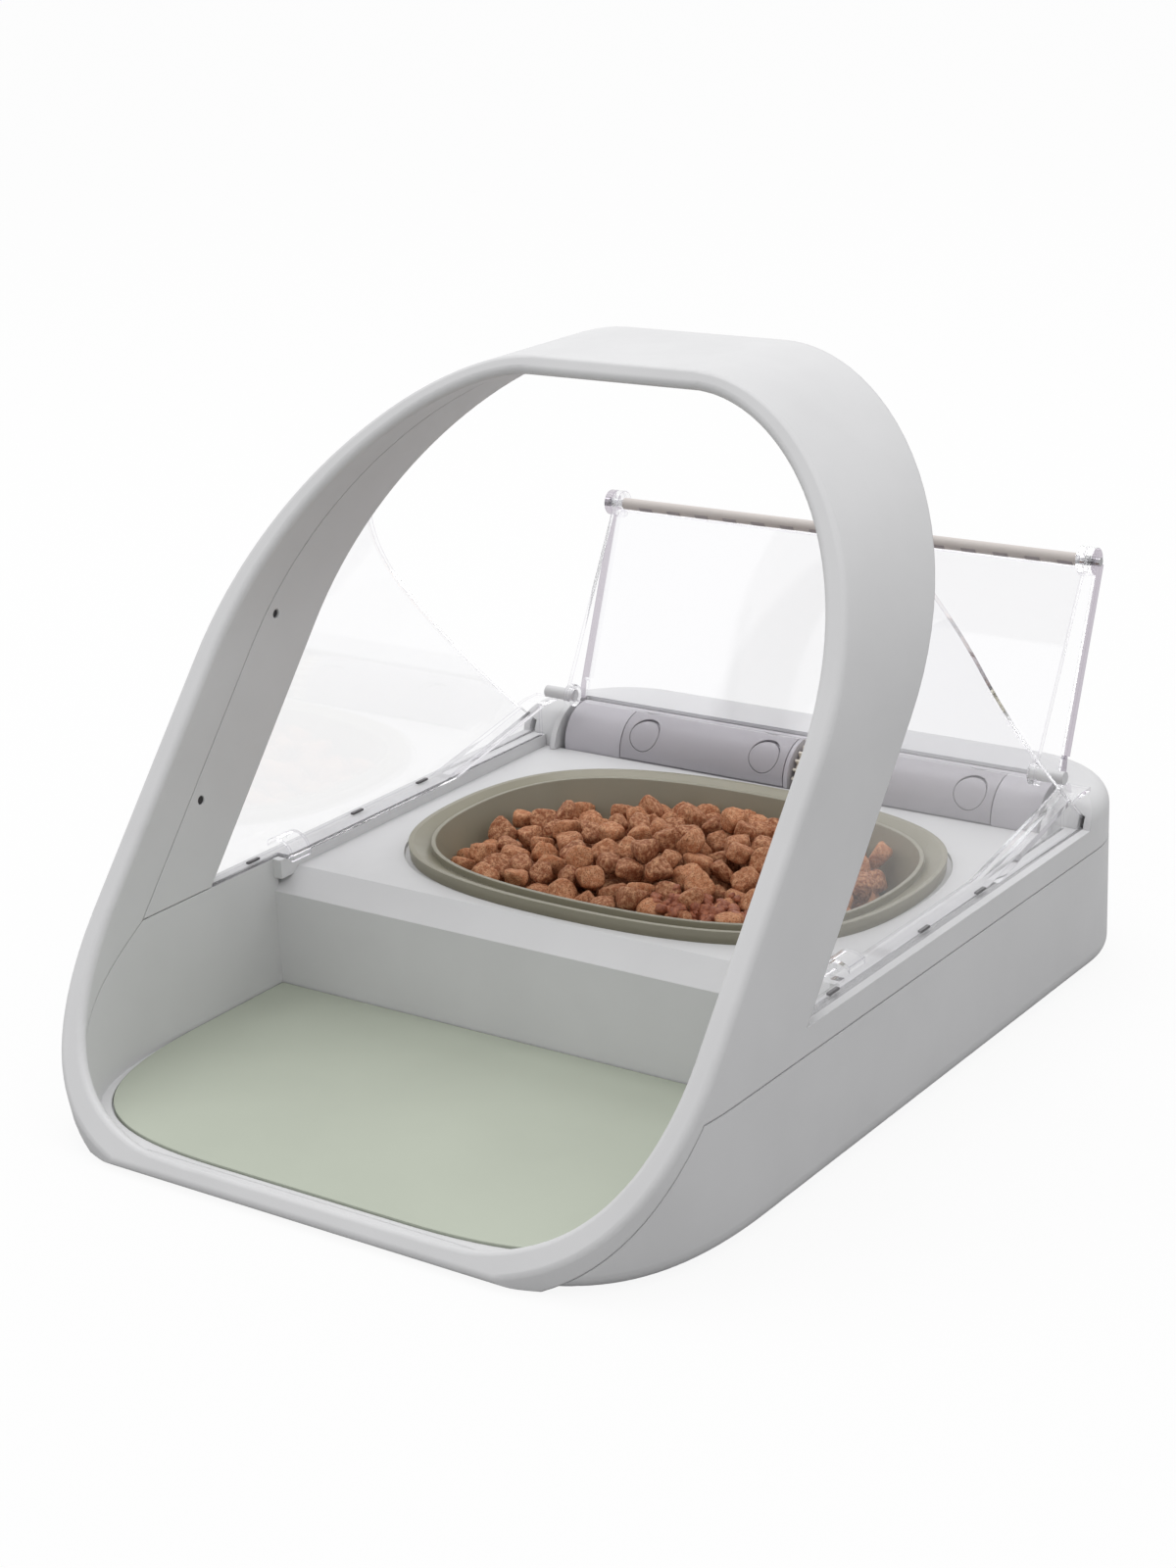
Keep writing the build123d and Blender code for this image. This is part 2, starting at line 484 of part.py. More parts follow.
def make_inner_tray():
    """Standing tray, step, raised deck with the bowl's well, and the barrel's cradle."""
    wall_out = HALF_WIDTH - RING_FACE + LINING_WALL
    tray = base_block(RING_FACE - LINING_WALL, FLOOR_WALL, RIM_Z, 3.6)
    tray -= base_block(RING_FACE, SILL_Z, RIM_Z + 1)
    tray -= mat_block(MAT_GAP, TRAY_FLOOR_Z, SILL_Z + 1)
    tray = between(tray, FACE_WALL / SIN_T, FAR) - lip_zone(SKIN_GAP)
    tray &= slab(-wall_out, wall_out, -FAR, STEP_Y + DECK_WALL, 0, FAR)
    deck_end = AXIS_Y - BARREL_R - 0.2
    slope = (DECK_Z - STEP_TOP_Z) / (DECK_FRONT_Y - STEP_Y)
    tray += side_profile([
        (STEP_Y, TRAY_FLOOR_Z), (STEP_Y, STEP_TOP_Z), (DECK_FRONT_Y, DECK_Z), (deck_end, DECK_Z),
        (deck_end, DECK_Z - DECK_WALL), (DECK_FRONT_Y, DECK_Z - DECK_WALL),
        (STEP_Y + DECK_WALL, STEP_TOP_Z - DECK_WALL + slope * DECK_WALL),
        (STEP_Y + DECK_WALL, FLOOR_WALL), (STEP_Y - 1, FLOOR_WALL), (STEP_Y - 1, TRAY_FLOOR_Z)],
        -wall_out, wall_out)
    for side in (-1, 1):
        x0, x1 = sorted((side * DECK_HALF_WIDTH, side * wall_out))
        tray += slab(x0, x1, STEP_Y, deck_end, DECK_Z - DECK_WALL, RIM_Z)
    seat_x, seat_y = BOWL_HALF_WIDTH - BOWL_RIM + SEAT_GAP, BOWL_HALF_DEPTH - BOWL_RIM + SEAT_GAP
    well_x, well_y = BOWL_FOOT_HALF_WIDTH + WELL_GAP, BOWL_FOOT_HALF_DEPTH + WELL_GAP
    tray += oval_loft(well_x + WELL_WALL, well_y + WELL_WALL, BOWL_BOTTOM_Z - 1.0 - WELL_WALL,
                      seat_x + WELL_WALL, seat_y + WELL_WALL, DECK_Z - 1)
    tray -= oval_loft(well_x, well_y, BOWL_BOTTOM_Z - 1.0, seat_x, seat_y, DECK_Z + 0.01)
    tray -= oval_loft(BOWL_HALF_WIDTH + SEAT_GAP, BOWL_HALF_DEPTH + SEAT_GAP, BOWL_SEAT_Z,
                      BOWL_HALF_WIDTH + SEAT_GAP, BOWL_HALF_DEPTH + SEAT_GAP, DECK_Z + 1)
    cradle = rod(BARREL_R + 2, -BARREL_HALF_LENGTH, BARREL_HALF_LENGTH, AXIS_Y, AXIS_Z)
    cradle &= slab(-FAR, FAR, 0, FAR, 0, AXIS_Z - 2)
    cradle -= slab(GEAR_SLOT_X[0] - 1, GEAR_SLOT_X[1] + 1, 0, FAR, 0, FAR)
    tray += cradle - rod(MOTOR_R + CLEAR, 0, FAR, DRIVE_Y, DRIVE_Z)
    tray -= rod(BARREL_R, -EAR_X, EAR_X, AXIS_Y, AXIS_Z)
    for x, y in BOSSES:
        post = Pos(x, y, (BOSS_TOP_Z + DECK_Z - 1) / 2) * Cylinder(BOSS_R, DECK_Z - 1 - BOSS_TOP_Z)
        tray += post
        tray -= Pos(x, y, BOSS_TOP_Z) * Cylinder(SCREW_R + FIT, 2 * SCREW_BITE + 1)
    tray -= coil_ring(0.2) & slab(-FAR, FAR, -FAR, STEP_Y, 0, TRAY_FLOOR_Z)
    return tray


def coil_ring(gap):
    """Loop of the reading coil round the entrance, behind the ring."""
    outer = tunnel(WALL + COIL_GAP - gap, COIL_K - gap, COIL_K + COIL_DEPTH + gap)
    return outer - tunnel(WALL + COIL_GAP + COIL_SIZE + gap, COIL_K - 5, COIL_K + COIL_DEPTH + 5)


def make_arch_lining():
    """Inside cover of the arch, with sensor holes and the slots that hold the windows."""
    above = slab(-FAR, FAR, -FAR, FAR, LINING_FOOT_Z, FAR)
    lining = tunnel(RING_FACE - LINING_WALL, LIP_DEPTH + SKIN_GAP, BAND_DEPTH)
    lining += tunnel(WALL + 0.1, BAND_DEPTH - LINING_WALL, BAND_DEPTH)
    lining = (lining & above) - tunnel(RING_FACE, 0, BAND_DEPTH + 9)
    for z in SENSOR_Z:
        y = slant_y(SENSOR_K, z)
        lining -= rod(SENSOR_R, -HALF_WIDTH, HALF_WIDTH, y, z)
    low, high = BAND_DEPTH - LINING_WALL - 1, BAND_DEPTH + 1
    slot = tunnel(0, low, high) - tunnel(WINDOW_INSET + WINDOW_WALL + CLEAR / 2, low - 1, high + 1)
    return lining - (slot & slab(-FAR, FAR, -FAR, FAR, 0, WINDOW_TOP_Z + 2))


def make_window():
    """Right-hand window with its rail and the hood in front of the guide pin."""
    x1 = HALF_WIDTH - WINDOW_INSET
    rear_top = (slant_y(BAND_DEPTH, WINDOW_TOP_Z) + 2.5, WINDOW_TOP_Z)
    rear_low = (WINDOW_END_Y, RIM_Z)
    front_top = (slant_y(BAND_DEPTH - WINDOW_TUCK, WINDOW_TOP_Z), WINDOW_TOP_Z)
    front_low = (slant_y(BAND_DEPTH - WINDOW_TUCK, RIM_Z + 0.3), RIM_Z)
    curve = Edge.make_bezier((0, *rear_top), (0, rear_top[0] + 15.5, rear_top[1] - 29),
                             (0, rear_low[0] - WINDOW_END_PULL[0], rear_low[1] + WINDOW_END_PULL[1]),
                             (0, *rear_low))
    corners = [rear_low, front_low, front_top, rear_top]
    lines = [Edge.make_line((0, *a), (0, *b)) for a, b in zip(corners, corners[1:])]
    side = extrude(Face(Wire([curve] + lines)), amount=HALF_WIDTH, dir=(1, 0, 0))
    reach = REAR_Y - FRONT_Y
    pane = side & (tunnel(WINDOW_INSET, 0, reach) - tunnel(WINDOW_INSET + WINDOW_WALL, -1, reach + 1))
    rail_y = slant_y(BAND_DEPTH, RIM_Z + RAIL_WALL) + CLEAR
    rail_x = DECK_HALF_WIDTH - RAIL_OVERLAP
    ramp_end = GUIDE_Y - GUIDE_PIN_R - 2.4
    ramp_start = ramp_end - RAIL_RAMP
    rail = side_profile([(rail_y, RIM_Z), (rail_y, RIM_Z + RAIL_WALL), (ramp_start, RIM_Z + RAIL_WALL),
                         (ramp_end, RAIL_END_Z), (ramp_end + 8, RAIL_END_Z),
                         (ramp_end + 8, RAIL_END_Z - RAIL_WALL), (ramp_end + 0.4, RAIL_END_Z - RAIL_WALL),
                         (ramp_start + 6, RIM_Z)], rail_x, x1)
    rail -= slab(0, HALF_WIDTH - RING_FACE, -FAR, DECK_FRONT_Y - 6, 0, FAR)
    skirt = side_profile([(ramp_start, RIM_Z), (ramp_start, RIM_Z + 1), (ramp_end, RAIL_END_Z - 1),
                          (ramp_end, RIM_Z)], rail_x + 1.6, rail_x + 3.2)
    hood_x, hood_z = x1 - HOOD_R, RIM_Z + 1
    hood_y = DECK_FRONT_Y - HOOD_SHIFT
    hood = Pos(hood_x, hood_y, hood_z) * Rot(90, 0, 0) * Cylinder(HOOD_R, HOOD_LENGTH)
    hood -= Pos(hood_x, hood_y, hood_z) * Rot(90, 0, 0) * Cylinder(HOOD_R - HOOD_WALL, HOOD_LENGTH + 2)
    hood &= slab(0, FAR, -FAR, FAR, RIM_Z, FAR)
    return pane + rail + skirt + hood


# ---- barrel ----------------------------------------------------------------------------------


def make_barrel(x0, x1, cover_x):
    """One half of the hinge barrel, with the recess for its cover plate."""
    barrel = rod(BARREL_R, x0, x1, AXIS_Y, AXIS_Z)
    barrel -= rod(BARREL_R - BARREL_WALL, x0 + BARREL_WALL, x1 - BARREL_WALL, AXIS_Y, AXIS_Z)
    barrel -= rod(ROD_R + FIT, x0 - 1, x1 + 1, AXIS_Y, AXIS_Z)
    swing = degrees(COVER_GAP / BARREL_R)
    return barrel - barrel_sector(BARREL_R - COVER_WALL, BARREL_R + 1,
                                  cover_x[0] - COVER_GAP, cover_x[1] + COVER_GAP,
                                  COVER_ANGLES[0] - swing, COVER_ANGLES[1] + swing)


def plug_solid(x, radius, up=0.0):
    """Round plug standing square to the barrel, or moved up along its skin."""
    a = radians(PLUG_ANGLE)
    where = Plane(origin=(x, AXIS_Y - (BARREL_R - 3) * cos(a), AXIS_Z + (BARREL_R - 3) * sin(a)),
                  x_dir=(1, 0, 0), z_dir=(0, -cos(a), sin(a)))
    return extrude(where * Pos(0, up) * Circle(radius), amount=6)


def plug_places():
    """X of each plug, near both ends of both cover plates."""
    return [x for x0, x1 in (LEFT_COVER_X, RIGHT_COVER_X) for x in (x0 + PLUG_INSET, x1 - PLUG_INSET)]


def make_barrel_cover(cover_x):
    """Curved cover plate let into the barrel, with holes for its plugs."""
    plate = barrel_sector(BARREL_R - COVER_WALL, BARREL_R, cover_x[0], cover_x[1], *COVER_ANGLES)
    for x in plug_places():
        if cover_x[0] < x < cover_x[1]:
            plate -= plug_solid(x, PLUG_R + PLUG_GAP) + plug_solid(x, PLUG_R, PLUG_GAP + PLUG_NOTCH)
    return plate


def make_plugs():
    """Flush screw plugs in the barrel's cover plates."""
    skin = rod(BARREL_R, -FAR, FAR, AXIS_Y, AXIS_Z) - rod(BARREL_R - COVER_WALL, -FAR, FAR, AXIS_Y, AXIS_Z)
    return Compound([s for x in plug_places() for s in (plug_solid(x, PLUG_R) & skin).solids()])


# ---- lid -------------------------------------------------------------------------------------


def make_rear_panel():
    """Rear half of the lid: sheet, side ribs, arms on the hinge rod and fold knuckles."""
    low = (AXIS_Y + 1.6, AXIS_Z + BARREL_R + 1.5)
    high = (FOLD_Y + 1.8, FOLD_Z - 1.0)
    panel = along_line(*low, *high, PANEL_WALL, -PANEL_HALF_WIDTH, PANEL_HALF_WIDTH)
    slope = atan2(high[1] - low[1], high[0] - low[0])
    foot = (low[0] + 7 * cos(slope), low[1] + 7 * sin(slope))
    back_y, back_z = RIB_DEPTH * sin(slope), -RIB_DEPTH * cos(slope)
    behind_high = (high[0] + back_y, high[1] + back_z)
    behind_foot = (foot[0] + back_y, foot[1] + back_z)
    arm_x = PANEL_HALF_WIDTH - ARM_WALL
    rib = side_profile([foot, high, behind_high, behind_foot], arm_x, PANEL_HALF_WIDTH)
    arm = side_profile([(AXIS_Y - ARM_R, AXIS_Z), (AXIS_Y, AXIS_Z - 1), (low[0] + 3, low[1] - 3),
                        (foot[0] + 2, foot[1]), (low[0] - 1, low[1])], arm_x, PANEL_HALF_WIDTH)
    arm += rod(ARM_R, arm_x, PANEL_HALF_WIDTH, AXIS_Y, AXIS_Z)
    centre = Pos(GEAR_X + GEAR_WIDTH + 2 - arm_x, 0, 0) * arm
    knuckle = rod(KNUCKLE_R, PANEL_HALF_WIDTH - KNUCKLE_WIDTH, PANEL_HALF_WIDTH, FOLD_Y, FOLD_Z)
    panel += both_sides(rib + arm + knuckle) + centre
    panel -= rod(ROD_R + FIT, -HALF_WIDTH, HALF_WIDTH, AXIS_Y, AXIS_Z)
    hold = PANEL_HALF_WIDTH - KNUCKLE_WIDTH
    panel -= rod(SEAL_HEIGHT / 2 + CLEAR + 0.4, -hold, hold, FOLD_Y, FOLD_Z)
    slot_x = FRONT_PANEL_HALF_WIDTH - KNUCKLE_WIDTH - 0.4
    panel -= both_sides(rod(KNUCKLE_R + 0.5, slot_x, hold, FOLD_Y, FOLD_Z))
    return panel - both_sides(rod(FOLD_PIN_R, hold - 1, HALF_WIDTH, FOLD_Y, FOLD_Z))


def make_front_panel():
    """Front half of the lid: sheet, fold knuckles and the lugs of the guide pins."""
    down_y, down_z = GUIDE_Y - FOLD_Y, GUIDE_Z - FOLD_Z
    length = hypot(down_y, down_z)
    off_y, off_z = down_z / length * 1.7, -down_y / length * 1.7
    start = 3.0 / length
    top = (FOLD_Y + down_y * start + off_y, FOLD_Z + down_z * start + off_z)
    foot = (GUIDE_Y + off_y + down_y / length * 2, GUIDE_Z + off_z + down_z / length * 2)
    half = FRONT_PANEL_HALF_WIDTH
    panel = along_line(*top, *foot, FRONT_PANEL_WALL, -half, half)
    knuckle = rod(KNUCKLE_R, half - KNUCKLE_WIDTH, half, FOLD_Y, FOLD_Z)
    lug = rod(GUIDE_PIN_R + 1.8, half - KNUCKLE_WIDTH, half, GUIDE_Y, GUIDE_Z)
    panel += both_sides(knuckle + lug)
    panel -= rod(SEAL_HEIGHT / 2 + CLEAR + 0.4, KNUCKLE_WIDTH - half, half - KNUCKLE_WIDTH, FOLD_Y, FOLD_Z)
    panel -= both_sides(rod(GUIDE_PIN_R, half - KNUCKLE_WIDTH, HALF_WIDTH, GUIDE_Y, GUIDE_Z))
    return panel - both_sides(rod(FOLD_PIN_R + FIT, half - KNUCKLE_WIDTH - 1, half + 1, FOLD_Y, FOLD_Z))


def make_lid_gear():
    """Gear fixed to the lid's middle arm, turning on the hinge rod."""
    wheel = gear(LID_GEAR_TEETH, GEAR_WIDTH, ROD_R + FIT, DRIVE_ANGLE)
    hub = Pos(0, 0, GEAR_WIDTH + 1) * (Cylinder(6, 2) - Cylinder(ROD_R + FIT, 4))
    return on_axis(wheel + hub, GEAR_X, AXIS_Y, AXIS_Z)


def make_drive_pinion():
    """Motor pinion on its shaft, in mesh with the lid gear."""
    wheel = gear(PINION_TEETH, GEAR_WIDTH, SHAFT_R / 2, 180 + DRIVE_ANGLE + 180 / PINION_TEETH)
    shaft = Pos(0, 0, (GEARBOX_X - GEAR_X + 4) / 2) * Cylinder(SHAFT_R, GEARBOX_X - GEAR_X + 4)
    return on_axis(wheel + shaft, GEAR_X, DRIVE_Y, DRIVE_Z)


# ---- soft and loose pieces -------------------------------------------------------------------


def make_bowl():
    """Rounded oval bowl with a grooved rim that rests on the deck."""
    rim_x, rim_y = BOWL_HALF_WIDTH, BOWL_HALF_DEPTH
    body_x, body_y = rim_x - BOWL_RIM, rim_y - BOWL_RIM
    foot_x, foot_y = BOWL_FOOT_HALF_WIDTH, BOWL_FOOT_HALF_DEPTH
    bowl = oval_loft(rim_x - 0.4, rim_y - 0.4, BOWL_SEAT_Z, rim_x, rim_y, BOWL_TOP_Z)
    bowl += oval_loft(foot_x, foot_y, BOWL_BOTTOM_Z, body_x, body_y, BOWL_SEAT_Z + 1)
    inner_x, inner_y = body_x - BOWL_WALL, body_y - BOWL_WALL
    lip_x, lip_y, lip_z = inner_x + INNER_LIP, inner_y + INNER_LIP, BOWL_TOP_Z - INNER_LIP_DROP
    step_z = BOWL_TOP_Z - BOWL_STEP
    bowl -= oval_loft(lip_x, lip_y, step_z, rim_x - BOWL_LIP, rim_y - BOWL_LIP, BOWL_TOP_Z + 0.01)
    bowl += oval_loft(lip_x, lip_y, step_z - 1, lip_x, lip_y, lip_z)
    return bowl - oval_loft(foot_x - BOWL_WALL, foot_y - BOWL_WALL, BOWL_BOTTOM_Z + BOWL_WALL,
                            inner_x, inner_y, lip_z + 0.01)


def mat_block(grow, z0, z1):
    """The mat's outline, grown on all sides, between two heights."""
    half = HALF_WIDTH - RING_FACE - MAT_GAP + grow
    front, rear = FRONT_Y + MAT_FRONT_GAP - grow, STEP_Y - MAT_GAP + grow
    width, corner = half - MAT_CORNER_WIDTH, front + MAT_CORNER_DEPTH
    pull_x = width + MAT_PULL * MAT_CORNER_WIDTH
    pull_y = corner - MAT_PULL * MAT_CORNER_DEPTH
    outline = Wire([
        Edge.make_line((-width, front, z0), (width, front, z0)),
        Edge.make_bezier((width, front, z0), (pull_x, front, z0), (half, pull_y, z0), (half, corner, z0)),
        Edge.make_line((half, corner, z0), (half, rear, z0)),
        Edge.make_line((half, rear, z0), (-half, rear, z0)),
        Edge.make_line((-half, rear, z0), (-half, corner, z0)),
        Edge.make_bezier((-half, corner, z0), (-half, pull_y, z0),
                         (-pull_x, front, z0), (-width, front, z0)),
    ])
    return extrude(Face(outline), amount=z1 - z0, dir=(0, 0, 1))


# ---- power, electronics and fasteners --------------------------------------------------------


def cell_places():
    """Start of each of the four cells, two in each bay."""
    first = BAY_X[0] + 1.5
    return [first, first + CELL_LENGTH, -first - CELL_LENGTH, -first - 2 * CELL_LENGTH]


def make_cells():
    """Four round cells in a row, each with its raised end."""
    cells = []
    for x in cell_places():
        shoulder = x + CELL_LENGTH - CELL_TIP
        body = rod(CELL_R, x, shoulder, CELL_Y, CELL_FLOOR_Z + CELL_R)
        tip = rod(CELL_TIP_R, shoulder, x + CELL_LENGTH, CELL_Y, CELL_FLOOR_Z + CELL_R)
        cells.append((body + tip).solid())
    return Compound(cells)


def make_contacts():
    """Sprung metal plates at both ends of each battery bay."""
    plates = []
    for side in (-1, 1):
        for x in BAY_X:
            inward = 1 if x == BAY_X[0] else -1
            x0, x1 = sorted((side * x, side * (x + inward * 0.5)))
            tip0, tip1 = sorted((side * x, side * (x + inward * 1.5)))
            plate = slab(x0, x1, CELL_Y - 8, CELL_Y + 8, CELL_FLOOR_Z + 3, CELL_FLOOR_Z + CELL_R - 1)
            plates.append((plate + rod(2.4, tip0, tip1, CELL_Y, CELL_FLOOR_Z + CELL_R - 3)).solid())
    return Compound(plates)


def make_battery_cover(side):
    """Cover plate of one battery bay, with ribs that carry the cells."""
    x0, x1 = sorted((side * (BAY_X[0] + 0.2), side * (BAY_X[1] - 0.2)))
    y0, y1 = CELL_Y - BAY_HALF_DEPTH + 0.2, CELL_Y + BAY_HALF_DEPTH - 0.2
    cover = slab(x0, x1, y0, y1, 0, FLOOR_WALL)
    for share in (0.15, 0.35, 0.65, 0.85):
        x = x0 + share * (x1 - x0)
        rib = slab(x, x + 1.6, CELL_Y - 9, CELL_Y + 9, FLOOR_WALL, CELL_FLOOR_Z + 3)
        cover += rib - rod(CELL_R, x - 1, x + 3, CELL_Y, CELL_FLOOR_Z + CELL_R)
    finger = slab((x0 + x1) / 2 - 9, (x0 + x1) / 2 + 9, y0 + 2, y0 + 6, -1, 0.6)
    return cover - finger


def make_button(x):
    """Push button in the rear wall, with a collar that keeps it in."""
    inside = REAR_Y - WALL
    tip = BOARD_Y + BOARD_THICK + SWITCH_HEIGHT + BUTTON_TRAVEL + 0.2
    axis = Rot(90, 0, 0)
    cap_y0 = tip + 2.5
    cap_y1 = REAR_Y - 0.2
    button = Pos(x, (cap_y0 + cap_y1) / 2, BUTTON_Z) * axis * Cylinder(BUTTON_R, cap_y1 - cap_y0)
    collar_y = inside - CLEAR - 0.7
    button += Pos(x, collar_y, BUTTON_Z) * axis * Cylinder(BUTTON_R + 1.5, 1.4)
    return button + Pos(x, (tip + cap_y0 + 1) / 2, BUTTON_Z) * axis * Cylinder(1.8, cap_y0 + 1 - tip)


def make_switches():
    """Small push switches on the board, one behind each button."""
    y0 = BOARD_Y + BOARD_THICK
    return Compound([slab(x - 3, x + 3, y0, y0 + SWITCH_HEIGHT, BUTTON_Z - 3, BUTTON_Z + 3)
                     for x in BUTTON_X])


def make_board():
    """Circuit board that stands behind the battery bay."""
    board = slab(*BOARD_X, BOARD_Y, BOARD_Y + BOARD_THICK, FLOOR_WALL, BOARD_TOP_Z)
    front = BOARD_Y + BOARD_THICK
    board += slab(LIGHT_X - 1, LIGHT_X + 1, front, REAR_Y - WALL - 2.3, BUTTON_Z - 1, BUTTON_Z + 1)
    return board + slab(BOARD_X[0] + 10, BOARD_X[0] + 17, front, front + 1.2, 8, 15)


def make_light():
    """Lens of the status light in the rear wall."""
    lens = Pos(LIGHT_X, REAR_Y - 1.4, BUTTON_Z) * Rot(90, 0, 0) * Cylinder(LIGHT_R, 2.4)
    return lens + Pos(LIGHT_X, REAR_Y - WALL - 1.2, BUTTON_Z) * Rot(90, 0, 0) * Cylinder(LIGHT_R + 0.8, 2.2)


def make_sensors(z):
    """Pair of sensor tubes behind the holes of the arch, at one height."""
    y = slant_y(SENSOR_K, z)
    inner = HALF_WIDTH - RING_FACE + 0.5
    return Compound([rod(SENSOR_R, inner, inner + 4, y, z), rod(SENSOR_R, -inner - 4, -inner, y, z)])


def make_feet():
    """Six round rubber feet in shallow pockets."""
    return Compound([Pos(x, y, (FOOT_SINK - GROUND_GAP) / 2) * Cylinder(FOOT_R, FOOT_SINK + GROUND_GAP)
                     for x, y in FEET])


def make_screws():
    """Casing screws, up through the bosses into the deck."""
    screws = []
    for x, y in BOSSES:
        head = Pos(x, y, SCREW_HEAD_Z + SCREW_HEAD / 2) * Cylinder(SCREW_HEAD_R, SCREW_HEAD)
        top = BOSS_TOP_Z + SCREW_BITE
        shank = Pos(x, y, (SCREW_HEAD_Z + top) / 2) * Cylinder(SCREW_R, top - SCREW_HEAD_Z)
        screws.append((head + shank).solid())
    return Compound(screws)


def make_fold_seal():
    """Soft bar along the fold, between the knuckles."""
    half = FRONT_PANEL_HALF_WIDTH - KNUCKLE_WIDTH - 0.4
    return rod(SEAL_HEIGHT / 2, -half, half, FOLD_Y, FOLD_Z)


# ---- write every sub-part --------------------------------------------------------------------

os.makedirs("parts", exist_ok=True)

save("top_cover", make_top_cover())
save("lower_shell", make_lower_shell())
save("inner_tray", make_inner_tray())
save("arch_lining", make_arch_lining())
window = make_window()
save("window_right", window)
save("window_left", mirror(window, about=Plane.YZ))
save("standing_mat", mat_block(0, TRAY_FLOOR_Z, MAT_TOP_Z))
save("food_bowl", make_bowl())

save("barrel_left", make_barrel(-BARREL_HALF_LENGTH, GEAR_SLOT_X[0], LEFT_COVER_X))
save("barrel_right", make_barrel(GEAR_SLOT_X[1], BARREL_HALF_LENGTH, RIGHT_COVER_X))
save("barrel_cover_left", make_barrel_cover(LEFT_COVER_X))
save("barrel_cover_right", make_barrel_cover(RIGHT_COVER_X))
save("screw_plugs", make_plugs())
save("hinge_rod", rod(ROD_R, -EAR_X - 1.5, EAR_X + 1.5, AXIS_Y, AXIS_Z))

save("lid_rear_panel", make_rear_panel())
save("lid_front_panel", make_front_panel())
save("lid_gear", make_lid_gear())
save("fold_seal", make_fold_seal())
save("fold_pins", Compound([rod(FOLD_PIN_R, x0, x1, FOLD_Y, FOLD_Z) for x0, x1 in (
    (FRONT_PANEL_HALF_WIDTH - KNUCKLE_WIDTH, PANEL_HALF_WIDTH + 1.5),
    (-PANEL_HALF_WIDTH - 1.5, KNUCKLE_WIDTH - FRONT_PANEL_HALF_WIDTH))]))
save("guide_pins", Compound([rod(GUIDE_PIN_R, x0, x1, GUIDE_Y, GUIDE_Z) for x0, x1 in (
    (FRONT_PANEL_HALF_WIDTH - KNUCKLE_WIDTH, GUIDE_PIN_END),
    (-GUIDE_PIN_END, KNUCKLE_WIDTH - FRONT_PANEL_HALF_WIDTH))]))

save("drive_pinion", make_drive_pinion())
gearbox = rod(MOTOR_R, GEARBOX_X, GEARBOX_X + 18, DRIVE_Y, DRIVE_Z)
save("gearbox", gearbox - rod(SHAFT_R + FIT, GEARBOX_X - 1, GEARBOX_X + 4.2, DRIVE_Y, DRIVE_Z))
save("motor", rod(MOTOR_R - 0.6, GEARBOX_X + 18, GEARBOX_X + 42, DRIVE_Y, DRIVE_Z))
save("control_board", make_board())
save("button_switches", make_switches())
save("pairing_button", make_button(BUTTON_X[0]))
save("lid_button", make_button(BUTTON_X[1]))
save("status_light", make_light())
save("reading_coil", coil_ring(0))
save("sensors_low", make_sensors(SENSOR_Z[0]))
save("sensors_high", make_sensors(SENSOR_Z[1]))
save("battery_cells", make_cells())
save("battery_contacts", make_contacts())
save("battery_cover_left", make_battery_cover(-1))
save("battery_cover_right", make_battery_cover(1))
save("rubber_feet", make_feet())
save("casing_screws", make_screws())
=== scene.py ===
"""Scene of the microchip pet feeder: finishes, food, small details, lights and camera. Metres."""
import json
import random
from itertools import product
from math import cos, pi, radians, sin

import bmesh
import bpy
import numpy as np
from mathutils import Matrix, Vector, noise


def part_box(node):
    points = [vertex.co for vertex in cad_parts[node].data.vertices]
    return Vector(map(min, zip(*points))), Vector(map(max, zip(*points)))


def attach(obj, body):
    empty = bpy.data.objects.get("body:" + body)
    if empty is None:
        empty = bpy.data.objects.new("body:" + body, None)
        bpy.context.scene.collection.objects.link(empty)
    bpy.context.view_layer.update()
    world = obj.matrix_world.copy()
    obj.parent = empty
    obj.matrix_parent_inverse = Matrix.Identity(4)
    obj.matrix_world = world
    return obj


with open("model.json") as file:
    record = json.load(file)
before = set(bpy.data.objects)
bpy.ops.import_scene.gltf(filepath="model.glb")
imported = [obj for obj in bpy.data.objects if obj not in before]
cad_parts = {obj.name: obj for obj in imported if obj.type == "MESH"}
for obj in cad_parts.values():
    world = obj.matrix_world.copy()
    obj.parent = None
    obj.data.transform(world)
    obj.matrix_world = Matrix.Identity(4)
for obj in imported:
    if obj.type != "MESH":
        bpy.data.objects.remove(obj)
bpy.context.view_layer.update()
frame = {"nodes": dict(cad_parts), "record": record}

nodes = frame["nodes"]
MM = 0.001
WHITE = (1.0, 1.0, 1.0)

# ---- camera ----------------------------------------------------------------------------------
CAMERA_PLACE = Vector((0.4986, -0.7015, 0.3823))
CAMERA_FORWARD = Vector((-0.5507, 0.7677, -0.3277))
CAMERA_UP = Vector((-0.1554, 0.2915, 0.9439))
CAMERA_NEAR = 0.01
CAMERA_FAR = 50.0
FOCAL = 66.37
SENSOR = 36.0

# ---- light -----------------------------------------------------------------------------------
WORLD_TOP = 1.08             # light from above
WORLD_TOP_RISE = 0.75        # a direction that points up this much counts as above
WORLD_BACK = 0.95            # light from behind the feeder
WORLD_FRONT = 0.30           # light from the camera's side
BACK_DIRECTION = (-0.42, 0.90, 0.0)
BACK_FADE = 0.6              # half the width of the change from front to back
WORLD_MIRRORED = 1.0         # what clear plastic and glossy faces reflect
WORLD_SEEN = 1.0             # what shows beside the object and through clear plastic

KEY_PLACE = Vector((-0.45, 0.35, 1.6))
KEY_TARGET = Vector((0.0, 0.0, 0.1))
KEY_SIZE = 0.9
KEY_POWER = 7.0

